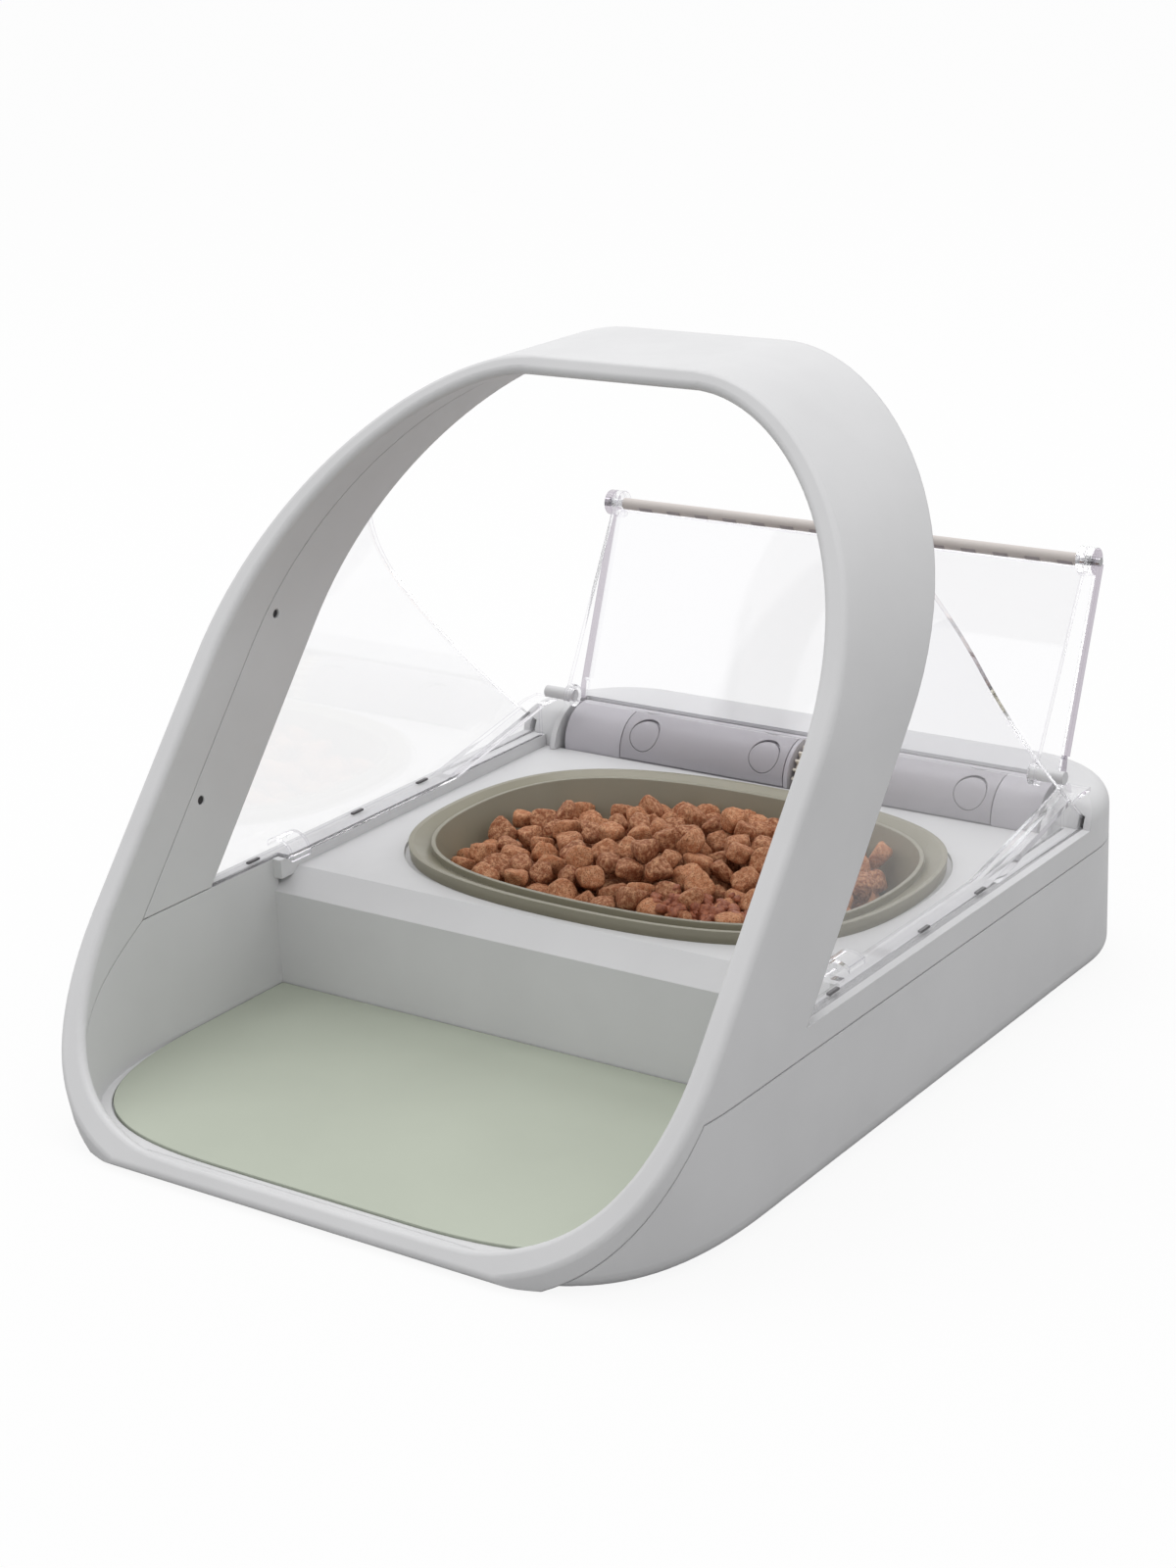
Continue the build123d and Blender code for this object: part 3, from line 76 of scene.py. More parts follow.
FLOOR_SIZE = 12.0
FLOOR_TONE = 0.44            # what the floor gives back to the object
FLOOR_GLOW = 1.08            # lifts the seen floor to white
FLOOR_SHADOW = 0.16          # share of the floor's own shading that the view keeps


def add_camera():
    """Camera at the photograph's place and angle."""
    data = bpy.data.cameras.new("camera")
    data.sensor_fit = "VERTICAL"
    data.sensor_height = SENSOR
    data.lens = FOCAL
    data.clip_start = CAMERA_NEAR
    data.clip_end = CAMERA_FAR
    camera = bpy.data.objects.new("camera", data)
    right = CAMERA_FORWARD.cross(CAMERA_UP).normalized()
    up = right.cross(CAMERA_FORWARD).normalized()
    turn = Matrix((right, up, -CAMERA_FORWARD.normalized())).transposed()
    camera.matrix_world = Matrix.Translation(CAMERA_PLACE) @ turn.to_4x4()
    bpy.context.scene.collection.objects.link(camera)
    bpy.context.scene.camera = camera


# ---- node helpers ----------------------------------------------------------------------------
MIX_SOCKETS = {"FLOAT": (2, 3, 0), "RGBA": (6, 7, 2)}    # a Mix node's two inputs and its output
BEVEL_SAMPLES = 6


class Nodes:
    """Short calls that add nodes to a node tree and return the output to link."""

    def __init__(self, tree):
        self.tree = tree

    def feed(self, target, value):
        """Link an input to another node's output, or set it to a plain value or a colour."""
        if isinstance(value, bpy.types.NodeSocket):
            self.tree.links.new(value, target)
        elif target.type == "RGBA":
            target.default_value = (*value, 1.0)
        else:
            target.default_value = value

    def fill(self, node, **inputs):
        """Feed inputs by name, with _ for each space."""
        for name, value in inputs.items():
            self.feed(node.inputs[name.replace("_", " ")], value)

    def add(self, kind, **inputs):
        """Add a node with some inputs fed. This one returns the node itself."""
        node = self.tree.nodes.new(kind)
        self.fill(node, **inputs)
        return node

    def place(self, space="Object"):
        """The place that is shaded or, in a world, the direction."""
        return self.add("ShaderNodeTexCoord").outputs[space]

    def rays(self):
        """Outputs that tell what kind of light ray is traced."""
        return self.add("ShaderNodeLightPath").outputs

    def noise(self, scale, detail=3.0, roughness=0.5):
        """Noise in the object's own space."""
        node = self.add("ShaderNodeTexNoise", Scale=scale, Detail=detail, Roughness=roughness)
        self.feed(node.inputs["Vector"], self.place())
        return node.outputs["Fac"]

    def ramp(self, source, low, high, out_low=0.0, out_high=1.0):
        """Map the range from low to high onto the range from out_low to out_high."""
        node = self.add("ShaderNodeMapRange", From_Min=low, From_Max=high, To_Min=out_low, To_Max=out_high)
        self.feed(node.inputs["Value"], source)
        return node.outputs["Result"]

    def mix(self, factor, first, second, kind="FLOAT"):
        """The first value where factor is 0, and the second where it is 1."""
        node = self.add("ShaderNodeMix")
        node.data_type = kind
        first_input, second_input, result = MIX_SOCKETS[kind]
        self.feed(node.inputs[0], factor)
        self.feed(node.inputs[first_input], first)
        self.feed(node.inputs[second_input], second)
        return node.outputs[result]

    def mix_colors(self, factor, first, second):
        """The first colour where factor is 0, and the second where it is 1."""
        return self.mix(factor, first, second, "RGBA")

    def combine(self, kind, operation, *values):
        """Work one value out of several."""
        node = self.add(kind)
        node.operation = operation
        for target, value in zip(node.inputs, values):
            self.feed(target, value)
        return node.outputs["Value"]

    def math(self, operation, *values):
        """Arithmetic on plain values."""
        return self.combine("ShaderNodeMath", operation, *values)

    def dot(self, first, second):
        """How far two directions agree."""
        return self.combine("ShaderNodeVectorMath", "DOT_PRODUCT", first, second)

    def axis(self, source, name):
        """One axis of a place or direction."""
        node = self.add("ShaderNodeSeparateXYZ")
        self.feed(node.inputs[0], source)
        return node.outputs[name]


class Shader(Nodes):
    """A material and its node tree."""

    def __init__(self, name):
        self.material = bpy.data.materials.new(name)
        self.material.use_nodes = True
        super().__init__(self.material.node_tree)
        self.principled = self.tree.nodes["Principled BSDF"]

    def set(self, **inputs):
        """Feed inputs of the main shader."""
        self.fill(self.principled, **inputs)

    def replace(self, factor, other):
        """Show another shader instead of the main one where factor is 1."""
        node = self.add("ShaderNodeMixShader")
        for target, value in zip(node.inputs, (factor, self.principled.outputs[0], other.outputs[0])):
            self.feed(target, value)
        self.feed(self.tree.nodes["Material Output"].inputs["Surface"], node.outputs[0])

    def geometry(self, name):
        """A fact about the face that is shaded."""
        return self.add("ShaderNodeNewGeometry").outputs[name]

    def bump(self, height, strength, distance, base=None):
        """Normals that follow a height, added to the base's normals."""
        node = self.add("ShaderNodeBump", Height=height, Strength=strength, Distance=distance)
        if base is not None:
            self.feed(node.inputs["Normal"], base)
        return node.outputs["Normal"]

    def round_edges(self, radius):
        """Normals that make sharp edges look round."""
        node = self.add("ShaderNodeBevel", Radius=radius)
        node.samples = BEVEL_SAMPLES
        return node.outputs["Normal"]


def shade(color, amount):
    """A colour made lighter or darker by a factor."""
    return tuple(channel * amount for channel in color)


def two_tones(color, spread):
    """A colour made darker and made lighter by a share."""
    return shade(color, 1 - spread), shade(color, 1 + spread)


# ---- materials -------------------------------------------------------------------------------
MOST_NOISE = (0.35, 0.65)    # most of a noise's values lie in this range
WIDE_NOISE = (0.3, 0.7)
PLASTIC_IOR = 1.49
TONE_SPREAD = 0.02           # moulded plastic's tone varies by this share
GLOSS_SPREAD = 0.04          # and its roughness by this much either way
GRAIN_DEPTH = 0.06 * MM
SILICONE_TONE_SPREAD = 0.025
SILICONE_GRAIN_DEPTH = 0.05 * MM
SILICONE_EDGE = 0.6 * MM
METAL_SPREAD = (0.05, 0.08)  # metal's roughness varies this much down and up

CLEAR_IOR = 1.09             # low, as the real sheets are thin and show hardly any bending
CLEAR_SPREAD = 0.5           # clear plastic's roughness varies by this share
CLEAR_PASS = 0.985           # share of soft light that one face lets through
CLEAR_BOUNCES = 3.5          # light that was bent and mirrored more often goes straight on
EDGE_BEND = (0.80, 0.97)     # how far rounded and plain normals agree, at an edge and beside it
PAINTED_END_SHADE = (0.34, 0.29, 0.35)    # painted shade, as a thick sheet's side face looks dark
END_FACING = (0.90, 0.96)    # how far a side face looks to the left or right
END_DEPTH = 0.4 * MM         # the side faces begin this far inside the sheet's greatest width
END_FADE = 0.2 * MM

KIBBLE_TONES = ((0.255, 0.080, 0.033), (0.500, 0.200, 0.092))
KIBBLE_PATCH = (0.680, 0.370, 0.205)
PATCH_NOISE = (0.42, 0.66)   # from no patch to a full one
# Painted shade: the colour of small dark specks that stand for shaded pits.
KIBBLE_PIT_SHADE = (0.120, 0.038, 0.016)
PIT_SHADE_NOISE = (0.32, 0.50)     # from full painted pit shade to none
WET_TONES = ((0.250, 0.066, 0.030), (0.500, 0.180, 0.092))


def moulded(name, color, roughness, grain=0.10, grain_scale=1500.0, edge=0.5 * MM):
    """Moulded plastic with a fine moulding grain and slight changes of tone."""
    s = Shader(name)
    tone = s.ramp(s.noise(scale=28.0), *MOST_NOISE)
    gloss = s.ramp(s.noise(scale=160.0), *WIDE_NOISE, roughness - GLOSS_SPREAD, roughness + GLOSS_SPREAD)
    s.set(Base_Color=s.mix_colors(tone, *two_tones(color, TONE_SPREAD)),
          Roughness=gloss,
          Normal=s.bump(s.noise(grain_scale, detail=2.0), grain, GRAIN_DEPTH, s.round_edges(edge)),
          Specular_IOR_Level=0.45, IOR=PLASTIC_IOR)
    return s.material


def end_faces(s, reach):
    """1 on the faces that end a piece to the left and right, further out than reach."""
    out = s.math("ABSOLUTE", s.axis(s.place(), "X"))
    facing = s.math("ABSOLUTE", s.axis(s.geometry("Normal"), "X"))
    return s.math("MULTIPLY", s.ramp(out, reach, reach + END_FADE), s.ramp(facing, *END_FACING))


def clear(name, tint, painted_edge_shade, roughness, edge, end_reach=None):
    """Clear moulded plastic, with painted shade on its edges; soft light and shadows pass straight on."""
    s = Shader(name)
    # Painted shade: near an edge the colour turns darker, standing for light that the edges bend and
    # mirror.
    near_edge = s.ramp(s.dot(s.round_edges(edge), s.geometry("Normal")), *EDGE_BEND, 1.0, 0.0)
    color = s.mix_colors(near_edge, tint, painted_edge_shade)
    # Painted shade on the side faces of a thick sheet.
    if end_reach:
        color = s.mix_colors(end_faces(s, end_reach), color, PAINTED_END_SHADE)
    haze = (roughness * (1 - CLEAR_SPREAD), roughness * (1 + CLEAR_SPREAD))
    s.set(Base_Color=color,
          Roughness=s.ramp(s.noise(scale=60.0), *WIDE_NOISE, *haze),
          IOR=CLEAR_IOR, Transmission_Weight=1.0,
          Coat_Weight=1.0, Coat_Roughness=0.03, Coat_IOR=PLASTIC_IOR)
    rays = s.rays()
    soft = s.math("MAXIMUM", rays["Is Shadow Ray"], rays["Is Diffuse Ray"])
    deep = s.math("GREATER_THAN", rays["Ray Depth"], CLEAR_BOUNCES)
    straight = s.add("ShaderNodeBsdfTransparent", Color=shade(tint, CLEAR_PASS))
    s.replace(s.math("MAXIMUM", soft, deep), straight)
    return s.material


def silicone(name, color):
    """Soft matt silicone with a fine bloom."""
    s = Shader(name)
    tone = s.ramp(s.noise(scale=18.0, detail=5.0), *MOST_NOISE)
    grain = s.noise(scale=2600.0, detail=2.0)
    edges = s.round_edges(SILICONE_EDGE)
    s.set(Base_Color=s.mix_colors(tone, *two_tones(color, SILICONE_TONE_SPREAD)),
          Normal=s.bump(grain, strength=0.12, distance=SILICONE_GRAIN_DEPTH, base=edges),
          Roughness=0.62, Specular_IOR_Level=0.35, Sheen_Weight=0.08, Sheen_Roughness=0.5)
    return s.material


def metal(name, color, roughness):
    """Bright turned metal."""
    s = Shader(name)
    less, more = METAL_SPREAD
    gloss = s.ramp(s.noise(scale=900.0), *WIDE_NOISE, roughness - less, roughness + more)
    s.set(Base_Color=color, Metallic=1.0, Roughness=gloss)
    return s.material


def kibble_finish():
    """Baked kibble: brown and dry, its tone different from piece to piece, dark specks painted as the
    shade of pits.
    """
    s = Shader("kibble_finish")
    tone = s.mix_colors(s.geometry("Random Per Island"), *KIBBLE_TONES)
    patches = s.ramp(s.noise(scale=700.0, detail=6.0, roughness=0.65), *PATCH_NOISE)
    # Painted shade: dark specks for the shade in pits.
    pit_shade = s.ramp(s.noise(scale=2200.0, detail=4.0, roughness=0.65), *PIT_SHADE_NOISE, 1.0, 0.0)
    crumbs = s.noise(scale=1500.0, detail=6.0, roughness=0.65)
    s.set(Base_Color=s.mix_colors(pit_shade, s.mix_colors(patches, tone, KIBBLE_PATCH), KIBBLE_PIT_SHADE),
          Normal=s.bump(crumbs, strength=0.45, distance=0.4 * MM),
          Roughness=0.74, Specular_IOR_Level=0.3)
    return s.material


def wet_finish():
    """Minced wet food."""
    s = Shader("wet_finish")
    tone = s.ramp(s.noise(scale=500.0, detail=6.0, roughness=0.6), *MOST_NOISE)
    fibres = s.noise(scale=800.0, detail=6.0, roughness=0.7)
    s.set(Base_Color=s.mix_colors(tone, *WET_TONES),
          Normal=s.bump(fibres, strength=0.7, distance=1.0 * MM),
          Roughness=0.38, Specular_IOR_Level=0.5)
    return s.material


SHELL_GREY = (0.640, 0.640, 0.648)
CLEAR_SHEET = {
    # The second colour is painted shade along the sheets' edges.
    "tint": (0.994, 0.993, 0.998), "painted_edge_shade": (0.62, 0.59, 0.66), "roughness": 0.015, "edge": 0.7 * MM,
}
PANEL_SIDE_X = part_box("lid_rear_panel")[1][0] - END_DEPTH
BUTTON = moulded("button_finish", (0.600, 0.600, 0.608), 0.40)
COVER = moulded("cover_finish", (0.405, 0.388, 0.418), 0.42)
DARK = moulded("dark_finish", (0.035, 0.035, 0.038), 0.40, grain=0.04, edge=0.2 * MM)

FINISHES = {
    "casing_plastic": moulded("casing_finish", SHELL_GREY, 0.46),
    "tray_plastic": moulded("tray_finish", SHELL_GREY, 0.46),
    "barrel_plastic": moulded("barrel_finish", (0.475, 0.458, 0.492), 0.42),
    "bowl_plastic": moulded("bowl_finish", (0.268, 0.250, 0.188), 0.34, grain=0.05, edge=0.6 * MM),
    "gear_plastic": moulded("nylon_finish", (0.74, 0.69, 0.60), 0.40, grain=0.04, edge=0.2 * MM),
    "gearbox_plastic": DARK,
    "sensor_dark": DARK,
    "board": moulded("board_finish", (0.030, 0.150, 0.060), 0.35, grain=0.15, grain_scale=700.0,
                     edge=0.1 * MM),
    "cell_wrap": moulded("cell_finish", (0.18, 0.19, 0.21), 0.28, grain=0.03, edge=0.4 * MM),
    "foot_rubber": moulded("rubber_finish", (0.055, 0.055, 0.055), 0.75, grain=0.2, grain_scale=1200.0,
                           edge=0.4 * MM),
    "seal_rubber": silicone("seal_finish", (0.60, 0.555, 0.53)),
    "mat_silicone": silicone("mat_finish", (0.445, 0.480, 0.400)),
    "clear_plastic": clear("clear_finish", **CLEAR_SHEET),
    # The second colour is painted shade along the lens's edges.
    "light_lens": clear("lens_finish", (0.90, 0.95, 0.92), (0.80, 0.85, 0.82), roughness=0.25,
                        edge=0.3 * MM),
    "steel": metal("steel_finish", (0.62, 0.62, 0.63), 0.25),
    "coil_copper": metal("copper_finish", (0.72, 0.36, 0.18), 0.35),
}
NODE_FINISHES = {
    "lid_rear_panel": clear("clear_lid_finish", **CLEAR_SHEET, end_reach=PANEL_SIDE_X),
    "barrel_cover_left": COVER,
    "barrel_cover_right": COVER,
    "screw_plugs": COVER,
    "guide_pins": moulded("pin_finish", (0.62, 0.62, 0.63), 0.38, grain=0.04, edge=0.3 * MM),
    "pairing_button": BUTTON,
    "lid_button": BUTTON,
}


def finish_nodes():
    """Give every CAD node its own finish, or else that of its material slot."""
    for subpart in frame["record"]["subparts"]:
        node = subpart["node"]
        finish = NODE_FINISHES.get(node, FINISHES[subpart["material_slot"]])
        for slot in nodes[node].material_slots:
            slot.material = finish


# ---- mesh helpers ----------------------------------------------------------------------------


def make_piece(name, verts, faces, finish, body, smooth=True):
    """Mesh object that rides on a body."""
    mesh = bpy.data.meshes.new(name)
    mesh.from_pydata([tuple(v) for v in verts], [], faces)
    mesh.update()
    mesh.polygons.foreach_set("use_smooth", [smooth] * len(mesh.polygons))
    piece = bpy.data.objects.new(name, mesh)
    bpy.context.scene.collection.objects.link(piece)
    mesh.materials.append(finish)
    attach(piece, body)


def ball(subdivisions):
    """Unit ball: its points as an array, and its faces."""
    bm = bmesh.new()
    bmesh.ops.create_icosphere(bm, subdivisions=subdivisions, radius=1.0)
    points = np.array([v.co[:] for v in bm.verts])
    faces = [tuple(v.index for v in f.verts) for f in bm.faces]
    bm.free()
    return points, faces


# ---- food ------------------------------------------------------------------------------------
BOWL_LOW, BOWL_HIGH = (np.array(corner[:]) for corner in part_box("food_bowl"))
BOWL_MIDDLE = (BOWL_LOW + BOWL_HIGH) / 2
BOWL_HALF = (BOWL_HIGH - BOWL_LOW) / 2
BOWL_TOP_INSET = (8.4 * MM, 8.4 * MM)      # X and Y, from the rim's outer edge to the inside's top
BOWL_FOOT_INSET = (20.2 * MM, 20.0 * MM)   # and to the inside's foot
OVAL_POWER = 2.68            # the bowl's rounded oval as a superellipse

FOOD_DROP = 12.5 * MM        # from the rim down to the food beside the wall
MOUND_HEIGHT = 9.0 * MM
MOUND_HALF = (52.0 * MM, 32.0 * MM)
MOUND_SHIFT = 7.0 * MM       # towards the hinge
LUMP_HEIGHT = 3.0 * MM
LUMP_SCALE = 45.0            # about this many lumps in a metre of the heap

CHUNK_SIDES = (3, 3, 4, 5)
CHUNK_TURN = 0.25            # a side turns this much off an even spacing, in radians
CHUNK_SIDE_LEAN = 0.35
CHUNK_SIDE_REACH = (0.62, 1.0)    # from the middle to a side, in radii
CHUNK_TOP_LEAN = 0.3
CHUNK_TOP_REACH = (0.50, 0.72)    # from the middle to the top or bottom, in radii
CHUNK_CRISP = 12.0           # higher values give sharper edges
CHUNK_CORNER = 1.15          # how far the corners reach, in radii
DENT_SCALES = (2.4, 6.0)     # coarse dents, and fine ones half as deep
DENT_DEPTH = 0.07
DENT_SHIFT = 50.0            # each shape's dents come from their own part of the noise

KIBBLE_SEED = 11
KIBBLE_R = 4.7 * MM
KIBBLE_SIZES = (0.84, 1.12)  # in radii
KIBBLE_SHAPES = 40
KIBBLE_TILT = 1.0            # a piece leans at most this much, in radians
KIBBLE_SPREAD = 2.02         # distance that neighbours keep, in radii
KIBBLE_LAYERS = 3
KIBBLE_LAYER_DEPTH = 1.3     # in radii
KIBBLE_SCATTER = 0.4         # sideways, as a share of the neighbours' distance
KIBBLE_LIFT = 0.5            # up and down, in radii
PUSH_ROUNDS = 25
PUSH_SHARE = 0.25            # share of an overlap by which each piece moves in one round

WET_SEED = 5
WET_COUNT = 260
WET_SIZES = (1.0 * MM, 2.4 * MM)
WET_SHAPES = 16
WET_TILT = 1.5
WET_PLACE = (28.0 * MM, -27.9 * MM)    # from the bowl's middle
WET_HALF = (16.0 * MM, 9.0 * MM)
WET_SCATTER = 0.45           # the usual distance from that place, as a share of WET_HALF
WET_LIFT = (0.2, 1.15)       # above the heap's surface, in kibble radii


def bowl_share(points, gap):
    """How far out in the bowl each point is: 0 in the middle, 1 where a piece touches the wall."""
    up = np.clip((points[:, 2] - BOWL_LOW[2]) / (BOWL_HIGH[2] - BOWL_LOW[2]), 0.0, 1.0)
    total = 0.0
    for axis in (0, 1):
        inset = BOWL_FOOT_INSET[axis] + (BOWL_TOP_INSET[axis] - BOWL_FOOT_INSET[axis]) * up
        half = BOWL_HALF[axis] - inset - gap
        total = total + np.abs((points[:, axis] - BOWL_MIDDLE[axis]) / half) ** OVAL_POWER
    return total ** (1 / OVAL_POWER)


def heap_height(x, y):
    """Height of the food's surface."""
    across = (x - BOWL_MIDDLE[0]) / MOUND_HALF[0]
    along = (y - BOWL_MIDDLE[1] - MOUND_SHIFT) / MOUND_HALF[1]
    lumps = LUMP_HEIGHT * noise.noise(Vector((x, y, 0.0)) * LUMP_SCALE)
    return BOWL_HIGH[2] - FOOD_DROP + MOUND_HEIGHT * np.exp(-across ** 2 - along ** 2) + lumps


def kibble_places():
    """Centres of the kibble: layers under the heap's surface, pushed apart."""
    rng = random.Random(KIBBLE_SEED)
    step = KIBBLE_SPREAD * KIBBLE_R
    grid = (np.arange(BOWL_LOW[axis], BOWL_HIGH[axis], step) for axis in (0, 1))
    points = []
    for layer, grid_x, grid_y in product(range(KIBBLE_LAYERS), *grid):
        x = grid_x + rng.uniform(-KIBBLE_SCATTER, KIBBLE_SCATTER) * step
        y = grid_y + rng.uniform(-KIBBLE_SCATTER, KIBBLE_SCATTER) * step
        depth = layer * KIBBLE_LAYER_DEPTH + rng.uniform(-KIBBLE_LIFT, KIBBLE_LIFT)
        points.append((x, y, heap_height(x, y) - depth * KIBBLE_R))
    points = np.array(points)
    return push_apart(points[bowl_share(points, KIBBLE_R) < 1.0])


def push_apart(points):
    """Move overlapping pieces apart, and keep them inside the bowl."""
    same = np.eye(len(points))
    for _ in range(PUSH_ROUNDS):
        gap = points[:, None, :] - points[None, :, :]
        distance = np.sqrt((gap ** 2).sum(axis=2)) + same    # not zero from a piece to itself
        push = np.clip(KIBBLE_SPREAD * KIBBLE_R - distance, 0.0, None) * (1 - same) / distance
        points = points + (gap * push[:, :, None] * PUSH_SHARE).sum(axis=1)
        share = np.maximum(bowl_share(points, KIBBLE_R), 1.0)[:, None]
        points[:, :2] = BOWL_MIDDLE[:2] + (points[:, :2] - BOWL_MIDDLE[:2]) / share
    return points


def dents(point, offset):
    """How far a point of the unit ball stands out."""
    coarse, fine = (noise.noise(Vector(point) * scale + offset) for scale in DENT_SCALES)
    return coarse + fine / 2


def chunk(unit, rng):
    """One piece of food: a flattened block with three to five uneven sides and round corners."""
    sides = rng.choice(CHUNK_SIDES)
    planes, reach = [], []
    for i in range(sides):
        spin = 2 * pi * i / sides + rng.uniform(-CHUNK_TURN, CHUNK_TURN)
        planes.append((cos(spin), sin(spin), rng.uniform(-CHUNK_SIDE_LEAN, CHUNK_SIDE_LEAN)))
        reach.append(rng.uniform(*CHUNK_SIDE_REACH))
    for up in (1.0, -1.0):
        lean = [rng.uniform(-CHUNK_TOP_LEAN, CHUNK_TOP_LEAN) for _ in range(2)]
        planes.append((*lean, up))
        reach.append(rng.uniform(*CHUNK_TOP_REACH))
    normals = np.array([Vector(plane).normalized()[:] for plane in planes])
    facing = np.clip(unit @ normals.T, 0.0, None) / np.array(reach)
    inverse = (facing ** CHUNK_CRISP).sum(axis=1) + CHUNK_CORNER ** -CHUNK_CRISP
    offset = Vector((rng.random(), rng.random(), rng.random())) * DENT_SHIFT
    surface = 1 + DENT_DEPTH * np.array([dents(point, offset) for point in unit])
    return unit * (inverse ** (-1 / CHUNK_CRISP) * surface)[:, None]


def add_heap(name, places, sizes, shapes, faces, finish, rng, tilt):
    """Many small pieces of food as one mesh."""
    verts, all_faces = [], []
    for place, size in zip(places, sizes):
        turn = (Matrix.Rotation(rng.uniform(0, 2 * pi), 3, "Z")
                @ Matrix.Rotation(rng.uniform(-tilt, tilt), 3, "X")
                @ Matrix.Rotation(rng.uniform(0, 2 * pi), 3, "Z"))
        start = len(verts)
        verts.extend(rng.choice(shapes) @ np.array(turn).T * size + place)
        all_faces.extend(tuple(start + i for i in face) for face in faces)
    make_piece(name, verts, all_faces, finish, "bowl")


def add_kibble():
    """Heap of kibble in the bowl."""
    rng = random.Random(KIBBLE_SEED + 1)
    unit, faces = ball(subdivisions=3)
    shapes = [chunk(unit, rng) for _ in range(KIBBLE_SHAPES)]
    places = kibble_places()
    sizes = [KIBBLE_R * rng.uniform(*KIBBLE_SIZES) for _ in places]
    add_heap("kibble", places, sizes, shapes, faces, kibble_finish(), rng, KIBBLE_TILT)


def add_wet_food():
    """Minced wet food on the kibble, towards the entrance."""
    rng = random.Random(WET_SEED)
    unit, faces = ball(subdivisions=2)
    shapes = [chunk(unit, rng) for _ in range(WET_SHAPES)]
    places, sizes = [], []
    for _ in range(WET_COUNT):
        sizes.append(rng.uniform(*WET_SIZES))
        x, y = (BOWL_MIDDLE[axis] + WET_PLACE[axis] + rng.gauss(0.0, WET_SCATTER) * WET_HALF[axis]
                for axis in (0, 1))
        places.append((x, y, heap_height(x, y) + rng.uniform(*WET_LIFT) * KIBBLE_R))
    add_heap("wet_food", places, sizes, shapes, faces, wet_finish(), rng, WET_TILT)


# ---- small details ---------------------------------------------------------------------------
SEAL_LOW, SEAL_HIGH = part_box("fold_seal")
FOLD_Y, FOLD_Z = ((SEAL_LOW[axis] + SEAL_HIGH[axis]) / 2 for axis in (1, 2))
SEAL_R = (SEAL_HIGH[2] - SEAL_LOW[2]) / 2
PAD_COUNT = 15
PAD_LENGTH = 5.5 * MM
PAD_PITCH = 12.0 * MM
PAD_MARGIN = 7.5 * MM        # from the seal's left end to the first pad
PAD_RADII = (SEAL_R - 0.4 * MM, SEAL_R + 0.12 * MM)
PAD_ANGLES = (-168.0, -120.0)    # degrees from the rear direction, counted upwards
PAD_STEPS = 5

RAIL_WALL = 1.4 * MM
CLIP_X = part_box("inner_tray")[1][0]      # over the tray's side edge
CLIP_Y = (-44.0 * MM, 10.0 * MM, 46.0 * MM)
CLIP_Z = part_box("window_left")[0][2] + RAIL_WALL    # the top of the windows' rails
CLIP_SIZE = (1.2 * MM, 5.5 * MM, 0.8 * MM)
BLOCK_CORNERS = tuple(product((-0.5, 0.5), repeat=3))    # of a block with sides of 1
BLOCK_FACES = ((0, 1, 3, 2), (4, 6, 7, 5), (0, 4, 5, 1), (2, 3, 7, 6), (0, 2, 6, 4), (1, 5, 7, 3))


def pad_points(x):
    """Points at one end of a pad: a row just inside the seal and a row just outside it."""
    start, end = PAD_ANGLES
    points = []
    for radius in PAD_RADII:
        for i in range(PAD_STEPS + 1):
            angle = radians(start + (end - start) * i / PAD_STEPS)
            points.append((x, FOLD_Y + radius * cos(angle), FOLD_Z + radius * sin(angle)))
    return points


def pad_faces(start):
    """Faces of a pad whose points begin at an index."""
    row = PAD_STEPS + 1
    inner_left, outer_left, inner_right, outer_right = (start + row * i for i in range(4))
    faces = []
    for a, b in ((outer_left, outer_right), (inner_right, inner_left), (inner_left, outer_left),
                 (outer_right, inner_right)):
        faces.extend((a + i, a + i + 1, b + i + 1, b + i) for i in range(PAD_STEPS))
    faces.append((inner_left, outer_left, outer_right, inner_right))
    last = (outer_left, inner_left, inner_right, outer_right)
    faces.append(tuple(corner + PAD_STEPS for corner in last))
    return faces


def add_seal_pads():
    """Row of short pads along the underside of the fold's seal."""
    verts, faces = [], []
    for i in range(PAD_COUNT):
        x = SEAL_LOW[0] + PAD_MARGIN + i * PAD_PITCH
        faces.extend(pad_faces(len(verts)))
        verts.extend(pad_points(x) + pad_points(x + PAD_LENGTH))
    finish = silicone("seal_pad_finish", (0.40, 0.36, 0.37))
    make_piece("seal_pads", verts, faces, finish, "rear_panel", smooth=False)


def add_clip_slot_shade():
    """Dark blocks on the rails' top, painted shade that stands for the slots of the clips that hold the
    windows' rails down.
    """
    verts, faces = [], []
    for side, y in product((-1, 1), CLIP_Y):
        middle = (side * CLIP_X, y, CLIP_Z)
        start = len(verts)
        faces.extend(tuple(start + i for i in face) for face in BLOCK_FACES)
        verts.extend(tuple(m + share * size for m, share, size in zip(middle, corner, CLIP_SIZE))
                     for corner in BLOCK_CORNERS)
    # Painted shade: the slots' dark colour, on blocks where the slots would be.
    finish = moulded("clip_slot_shade_finish", (0.10, 0.095, 0.10), 0.40, grain=0.04, edge=0.2 * MM)
    make_piece("clip_slot_shade", verts, faces, finish, "base", smooth=False)


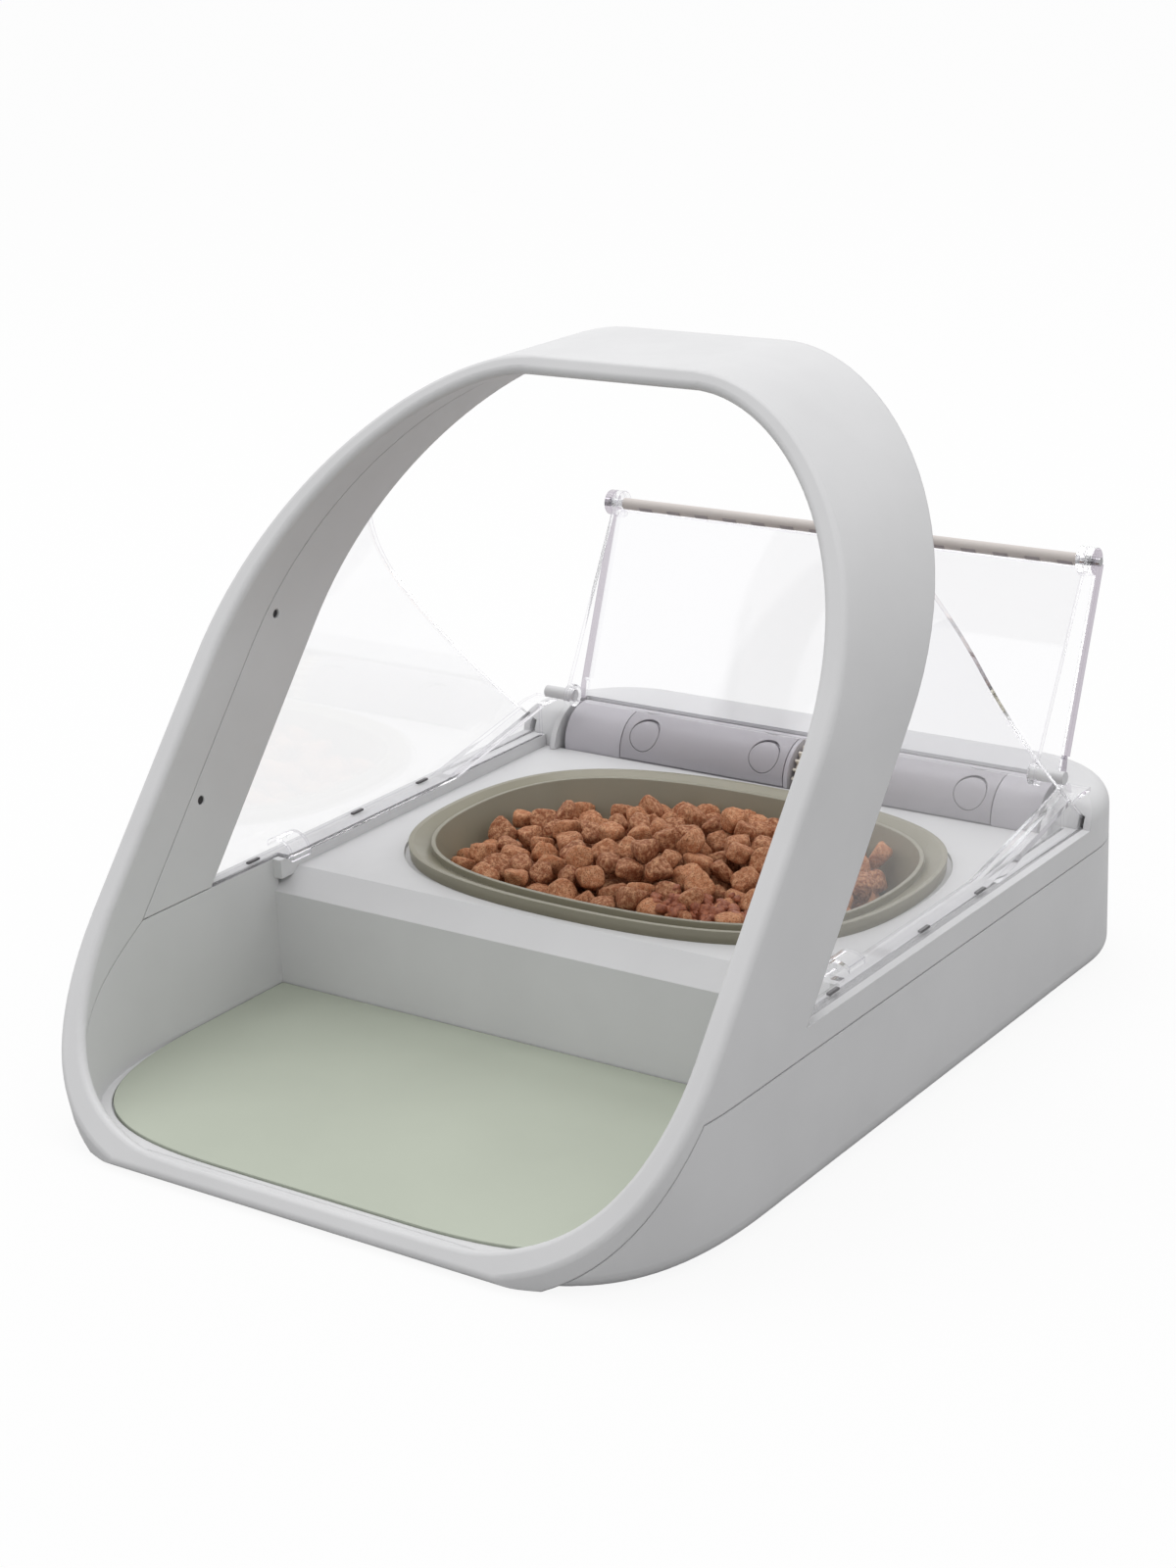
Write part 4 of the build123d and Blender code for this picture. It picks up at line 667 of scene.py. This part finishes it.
# ---- stage -----------------------------------------------------------------------------------


def add_floor():
    """Pale floor, seen almost white, that keeps a faint shadow."""
    s = Shader("floor_finish")
    s.set(Base_Color=shade(WHITE, FLOOR_TONE), Roughness=0.9, Specular_IOR_Level=0.1)
    rays = s.rays()
    seen = s.math("MAXIMUM", rays["Is Camera Ray"], rays["Is Transmission Ray"])
    glow = s.add("ShaderNodeEmission", Color=WHITE, Strength=FLOOR_GLOW)
    s.replace(s.ramp(seen, 0.0, 1.0, 0.0, 1.0 - FLOOR_SHADOW), glow)
    bpy.ops.mesh.primitive_plane_add(size=FLOOR_SIZE)
    floor = bpy.context.object
    floor.name = "floor"
    floor.data.materials.append(s.material)


def add_world():
    """Bright from above and behind, dimmer from the front; white where it is seen."""
    world = bpy.data.worlds.new("studio")
    bpy.context.scene.world = world
    world.use_nodes = True
    n = Nodes(world.node_tree)
    direction = n.place("Generated")
    rise = n.ramp(n.axis(direction, "Z"), 0.0, WORLD_TOP_RISE)
    back = n.ramp(n.dot(direction, BACK_DIRECTION), -BACK_FADE, BACK_FADE, WORLD_FRONT, WORLD_BACK)
    strength = n.mix(rise, back, WORLD_TOP)
    rays = n.rays()
    for kind, level in (("Glossy", WORLD_MIRRORED), ("Transmission", WORLD_SEEN), ("Camera", WORLD_SEEN)):
        strength = n.mix(rays[f"Is {kind} Ray"], strength, level)
    n.fill(n.tree.nodes["Background"], Color=WHITE, Strength=strength)


def add_key_light():
    """Square soft light high above the feeder, to its left and rear."""
    data = bpy.data.lights.new("key", "AREA")
    data.shape = "SQUARE"
    data.size = KEY_SIZE
    data.energy = KEY_POWER
    lamp = bpy.data.objects.new("key", data)
    lamp.location = KEY_PLACE
    lamp.rotation_euler = (KEY_TARGET - KEY_PLACE).to_track_quat("-Z", "Y").to_euler()
    bpy.context.scene.collection.objects.link(lamp)


add_camera()
bpy.context.scene.view_settings.view_transform = "Standard"
add_world()
add_floor()
add_key_light()
finish_nodes()
add_kibble()
add_wet_food()
add_seal_pads()
add_clip_slot_shade()
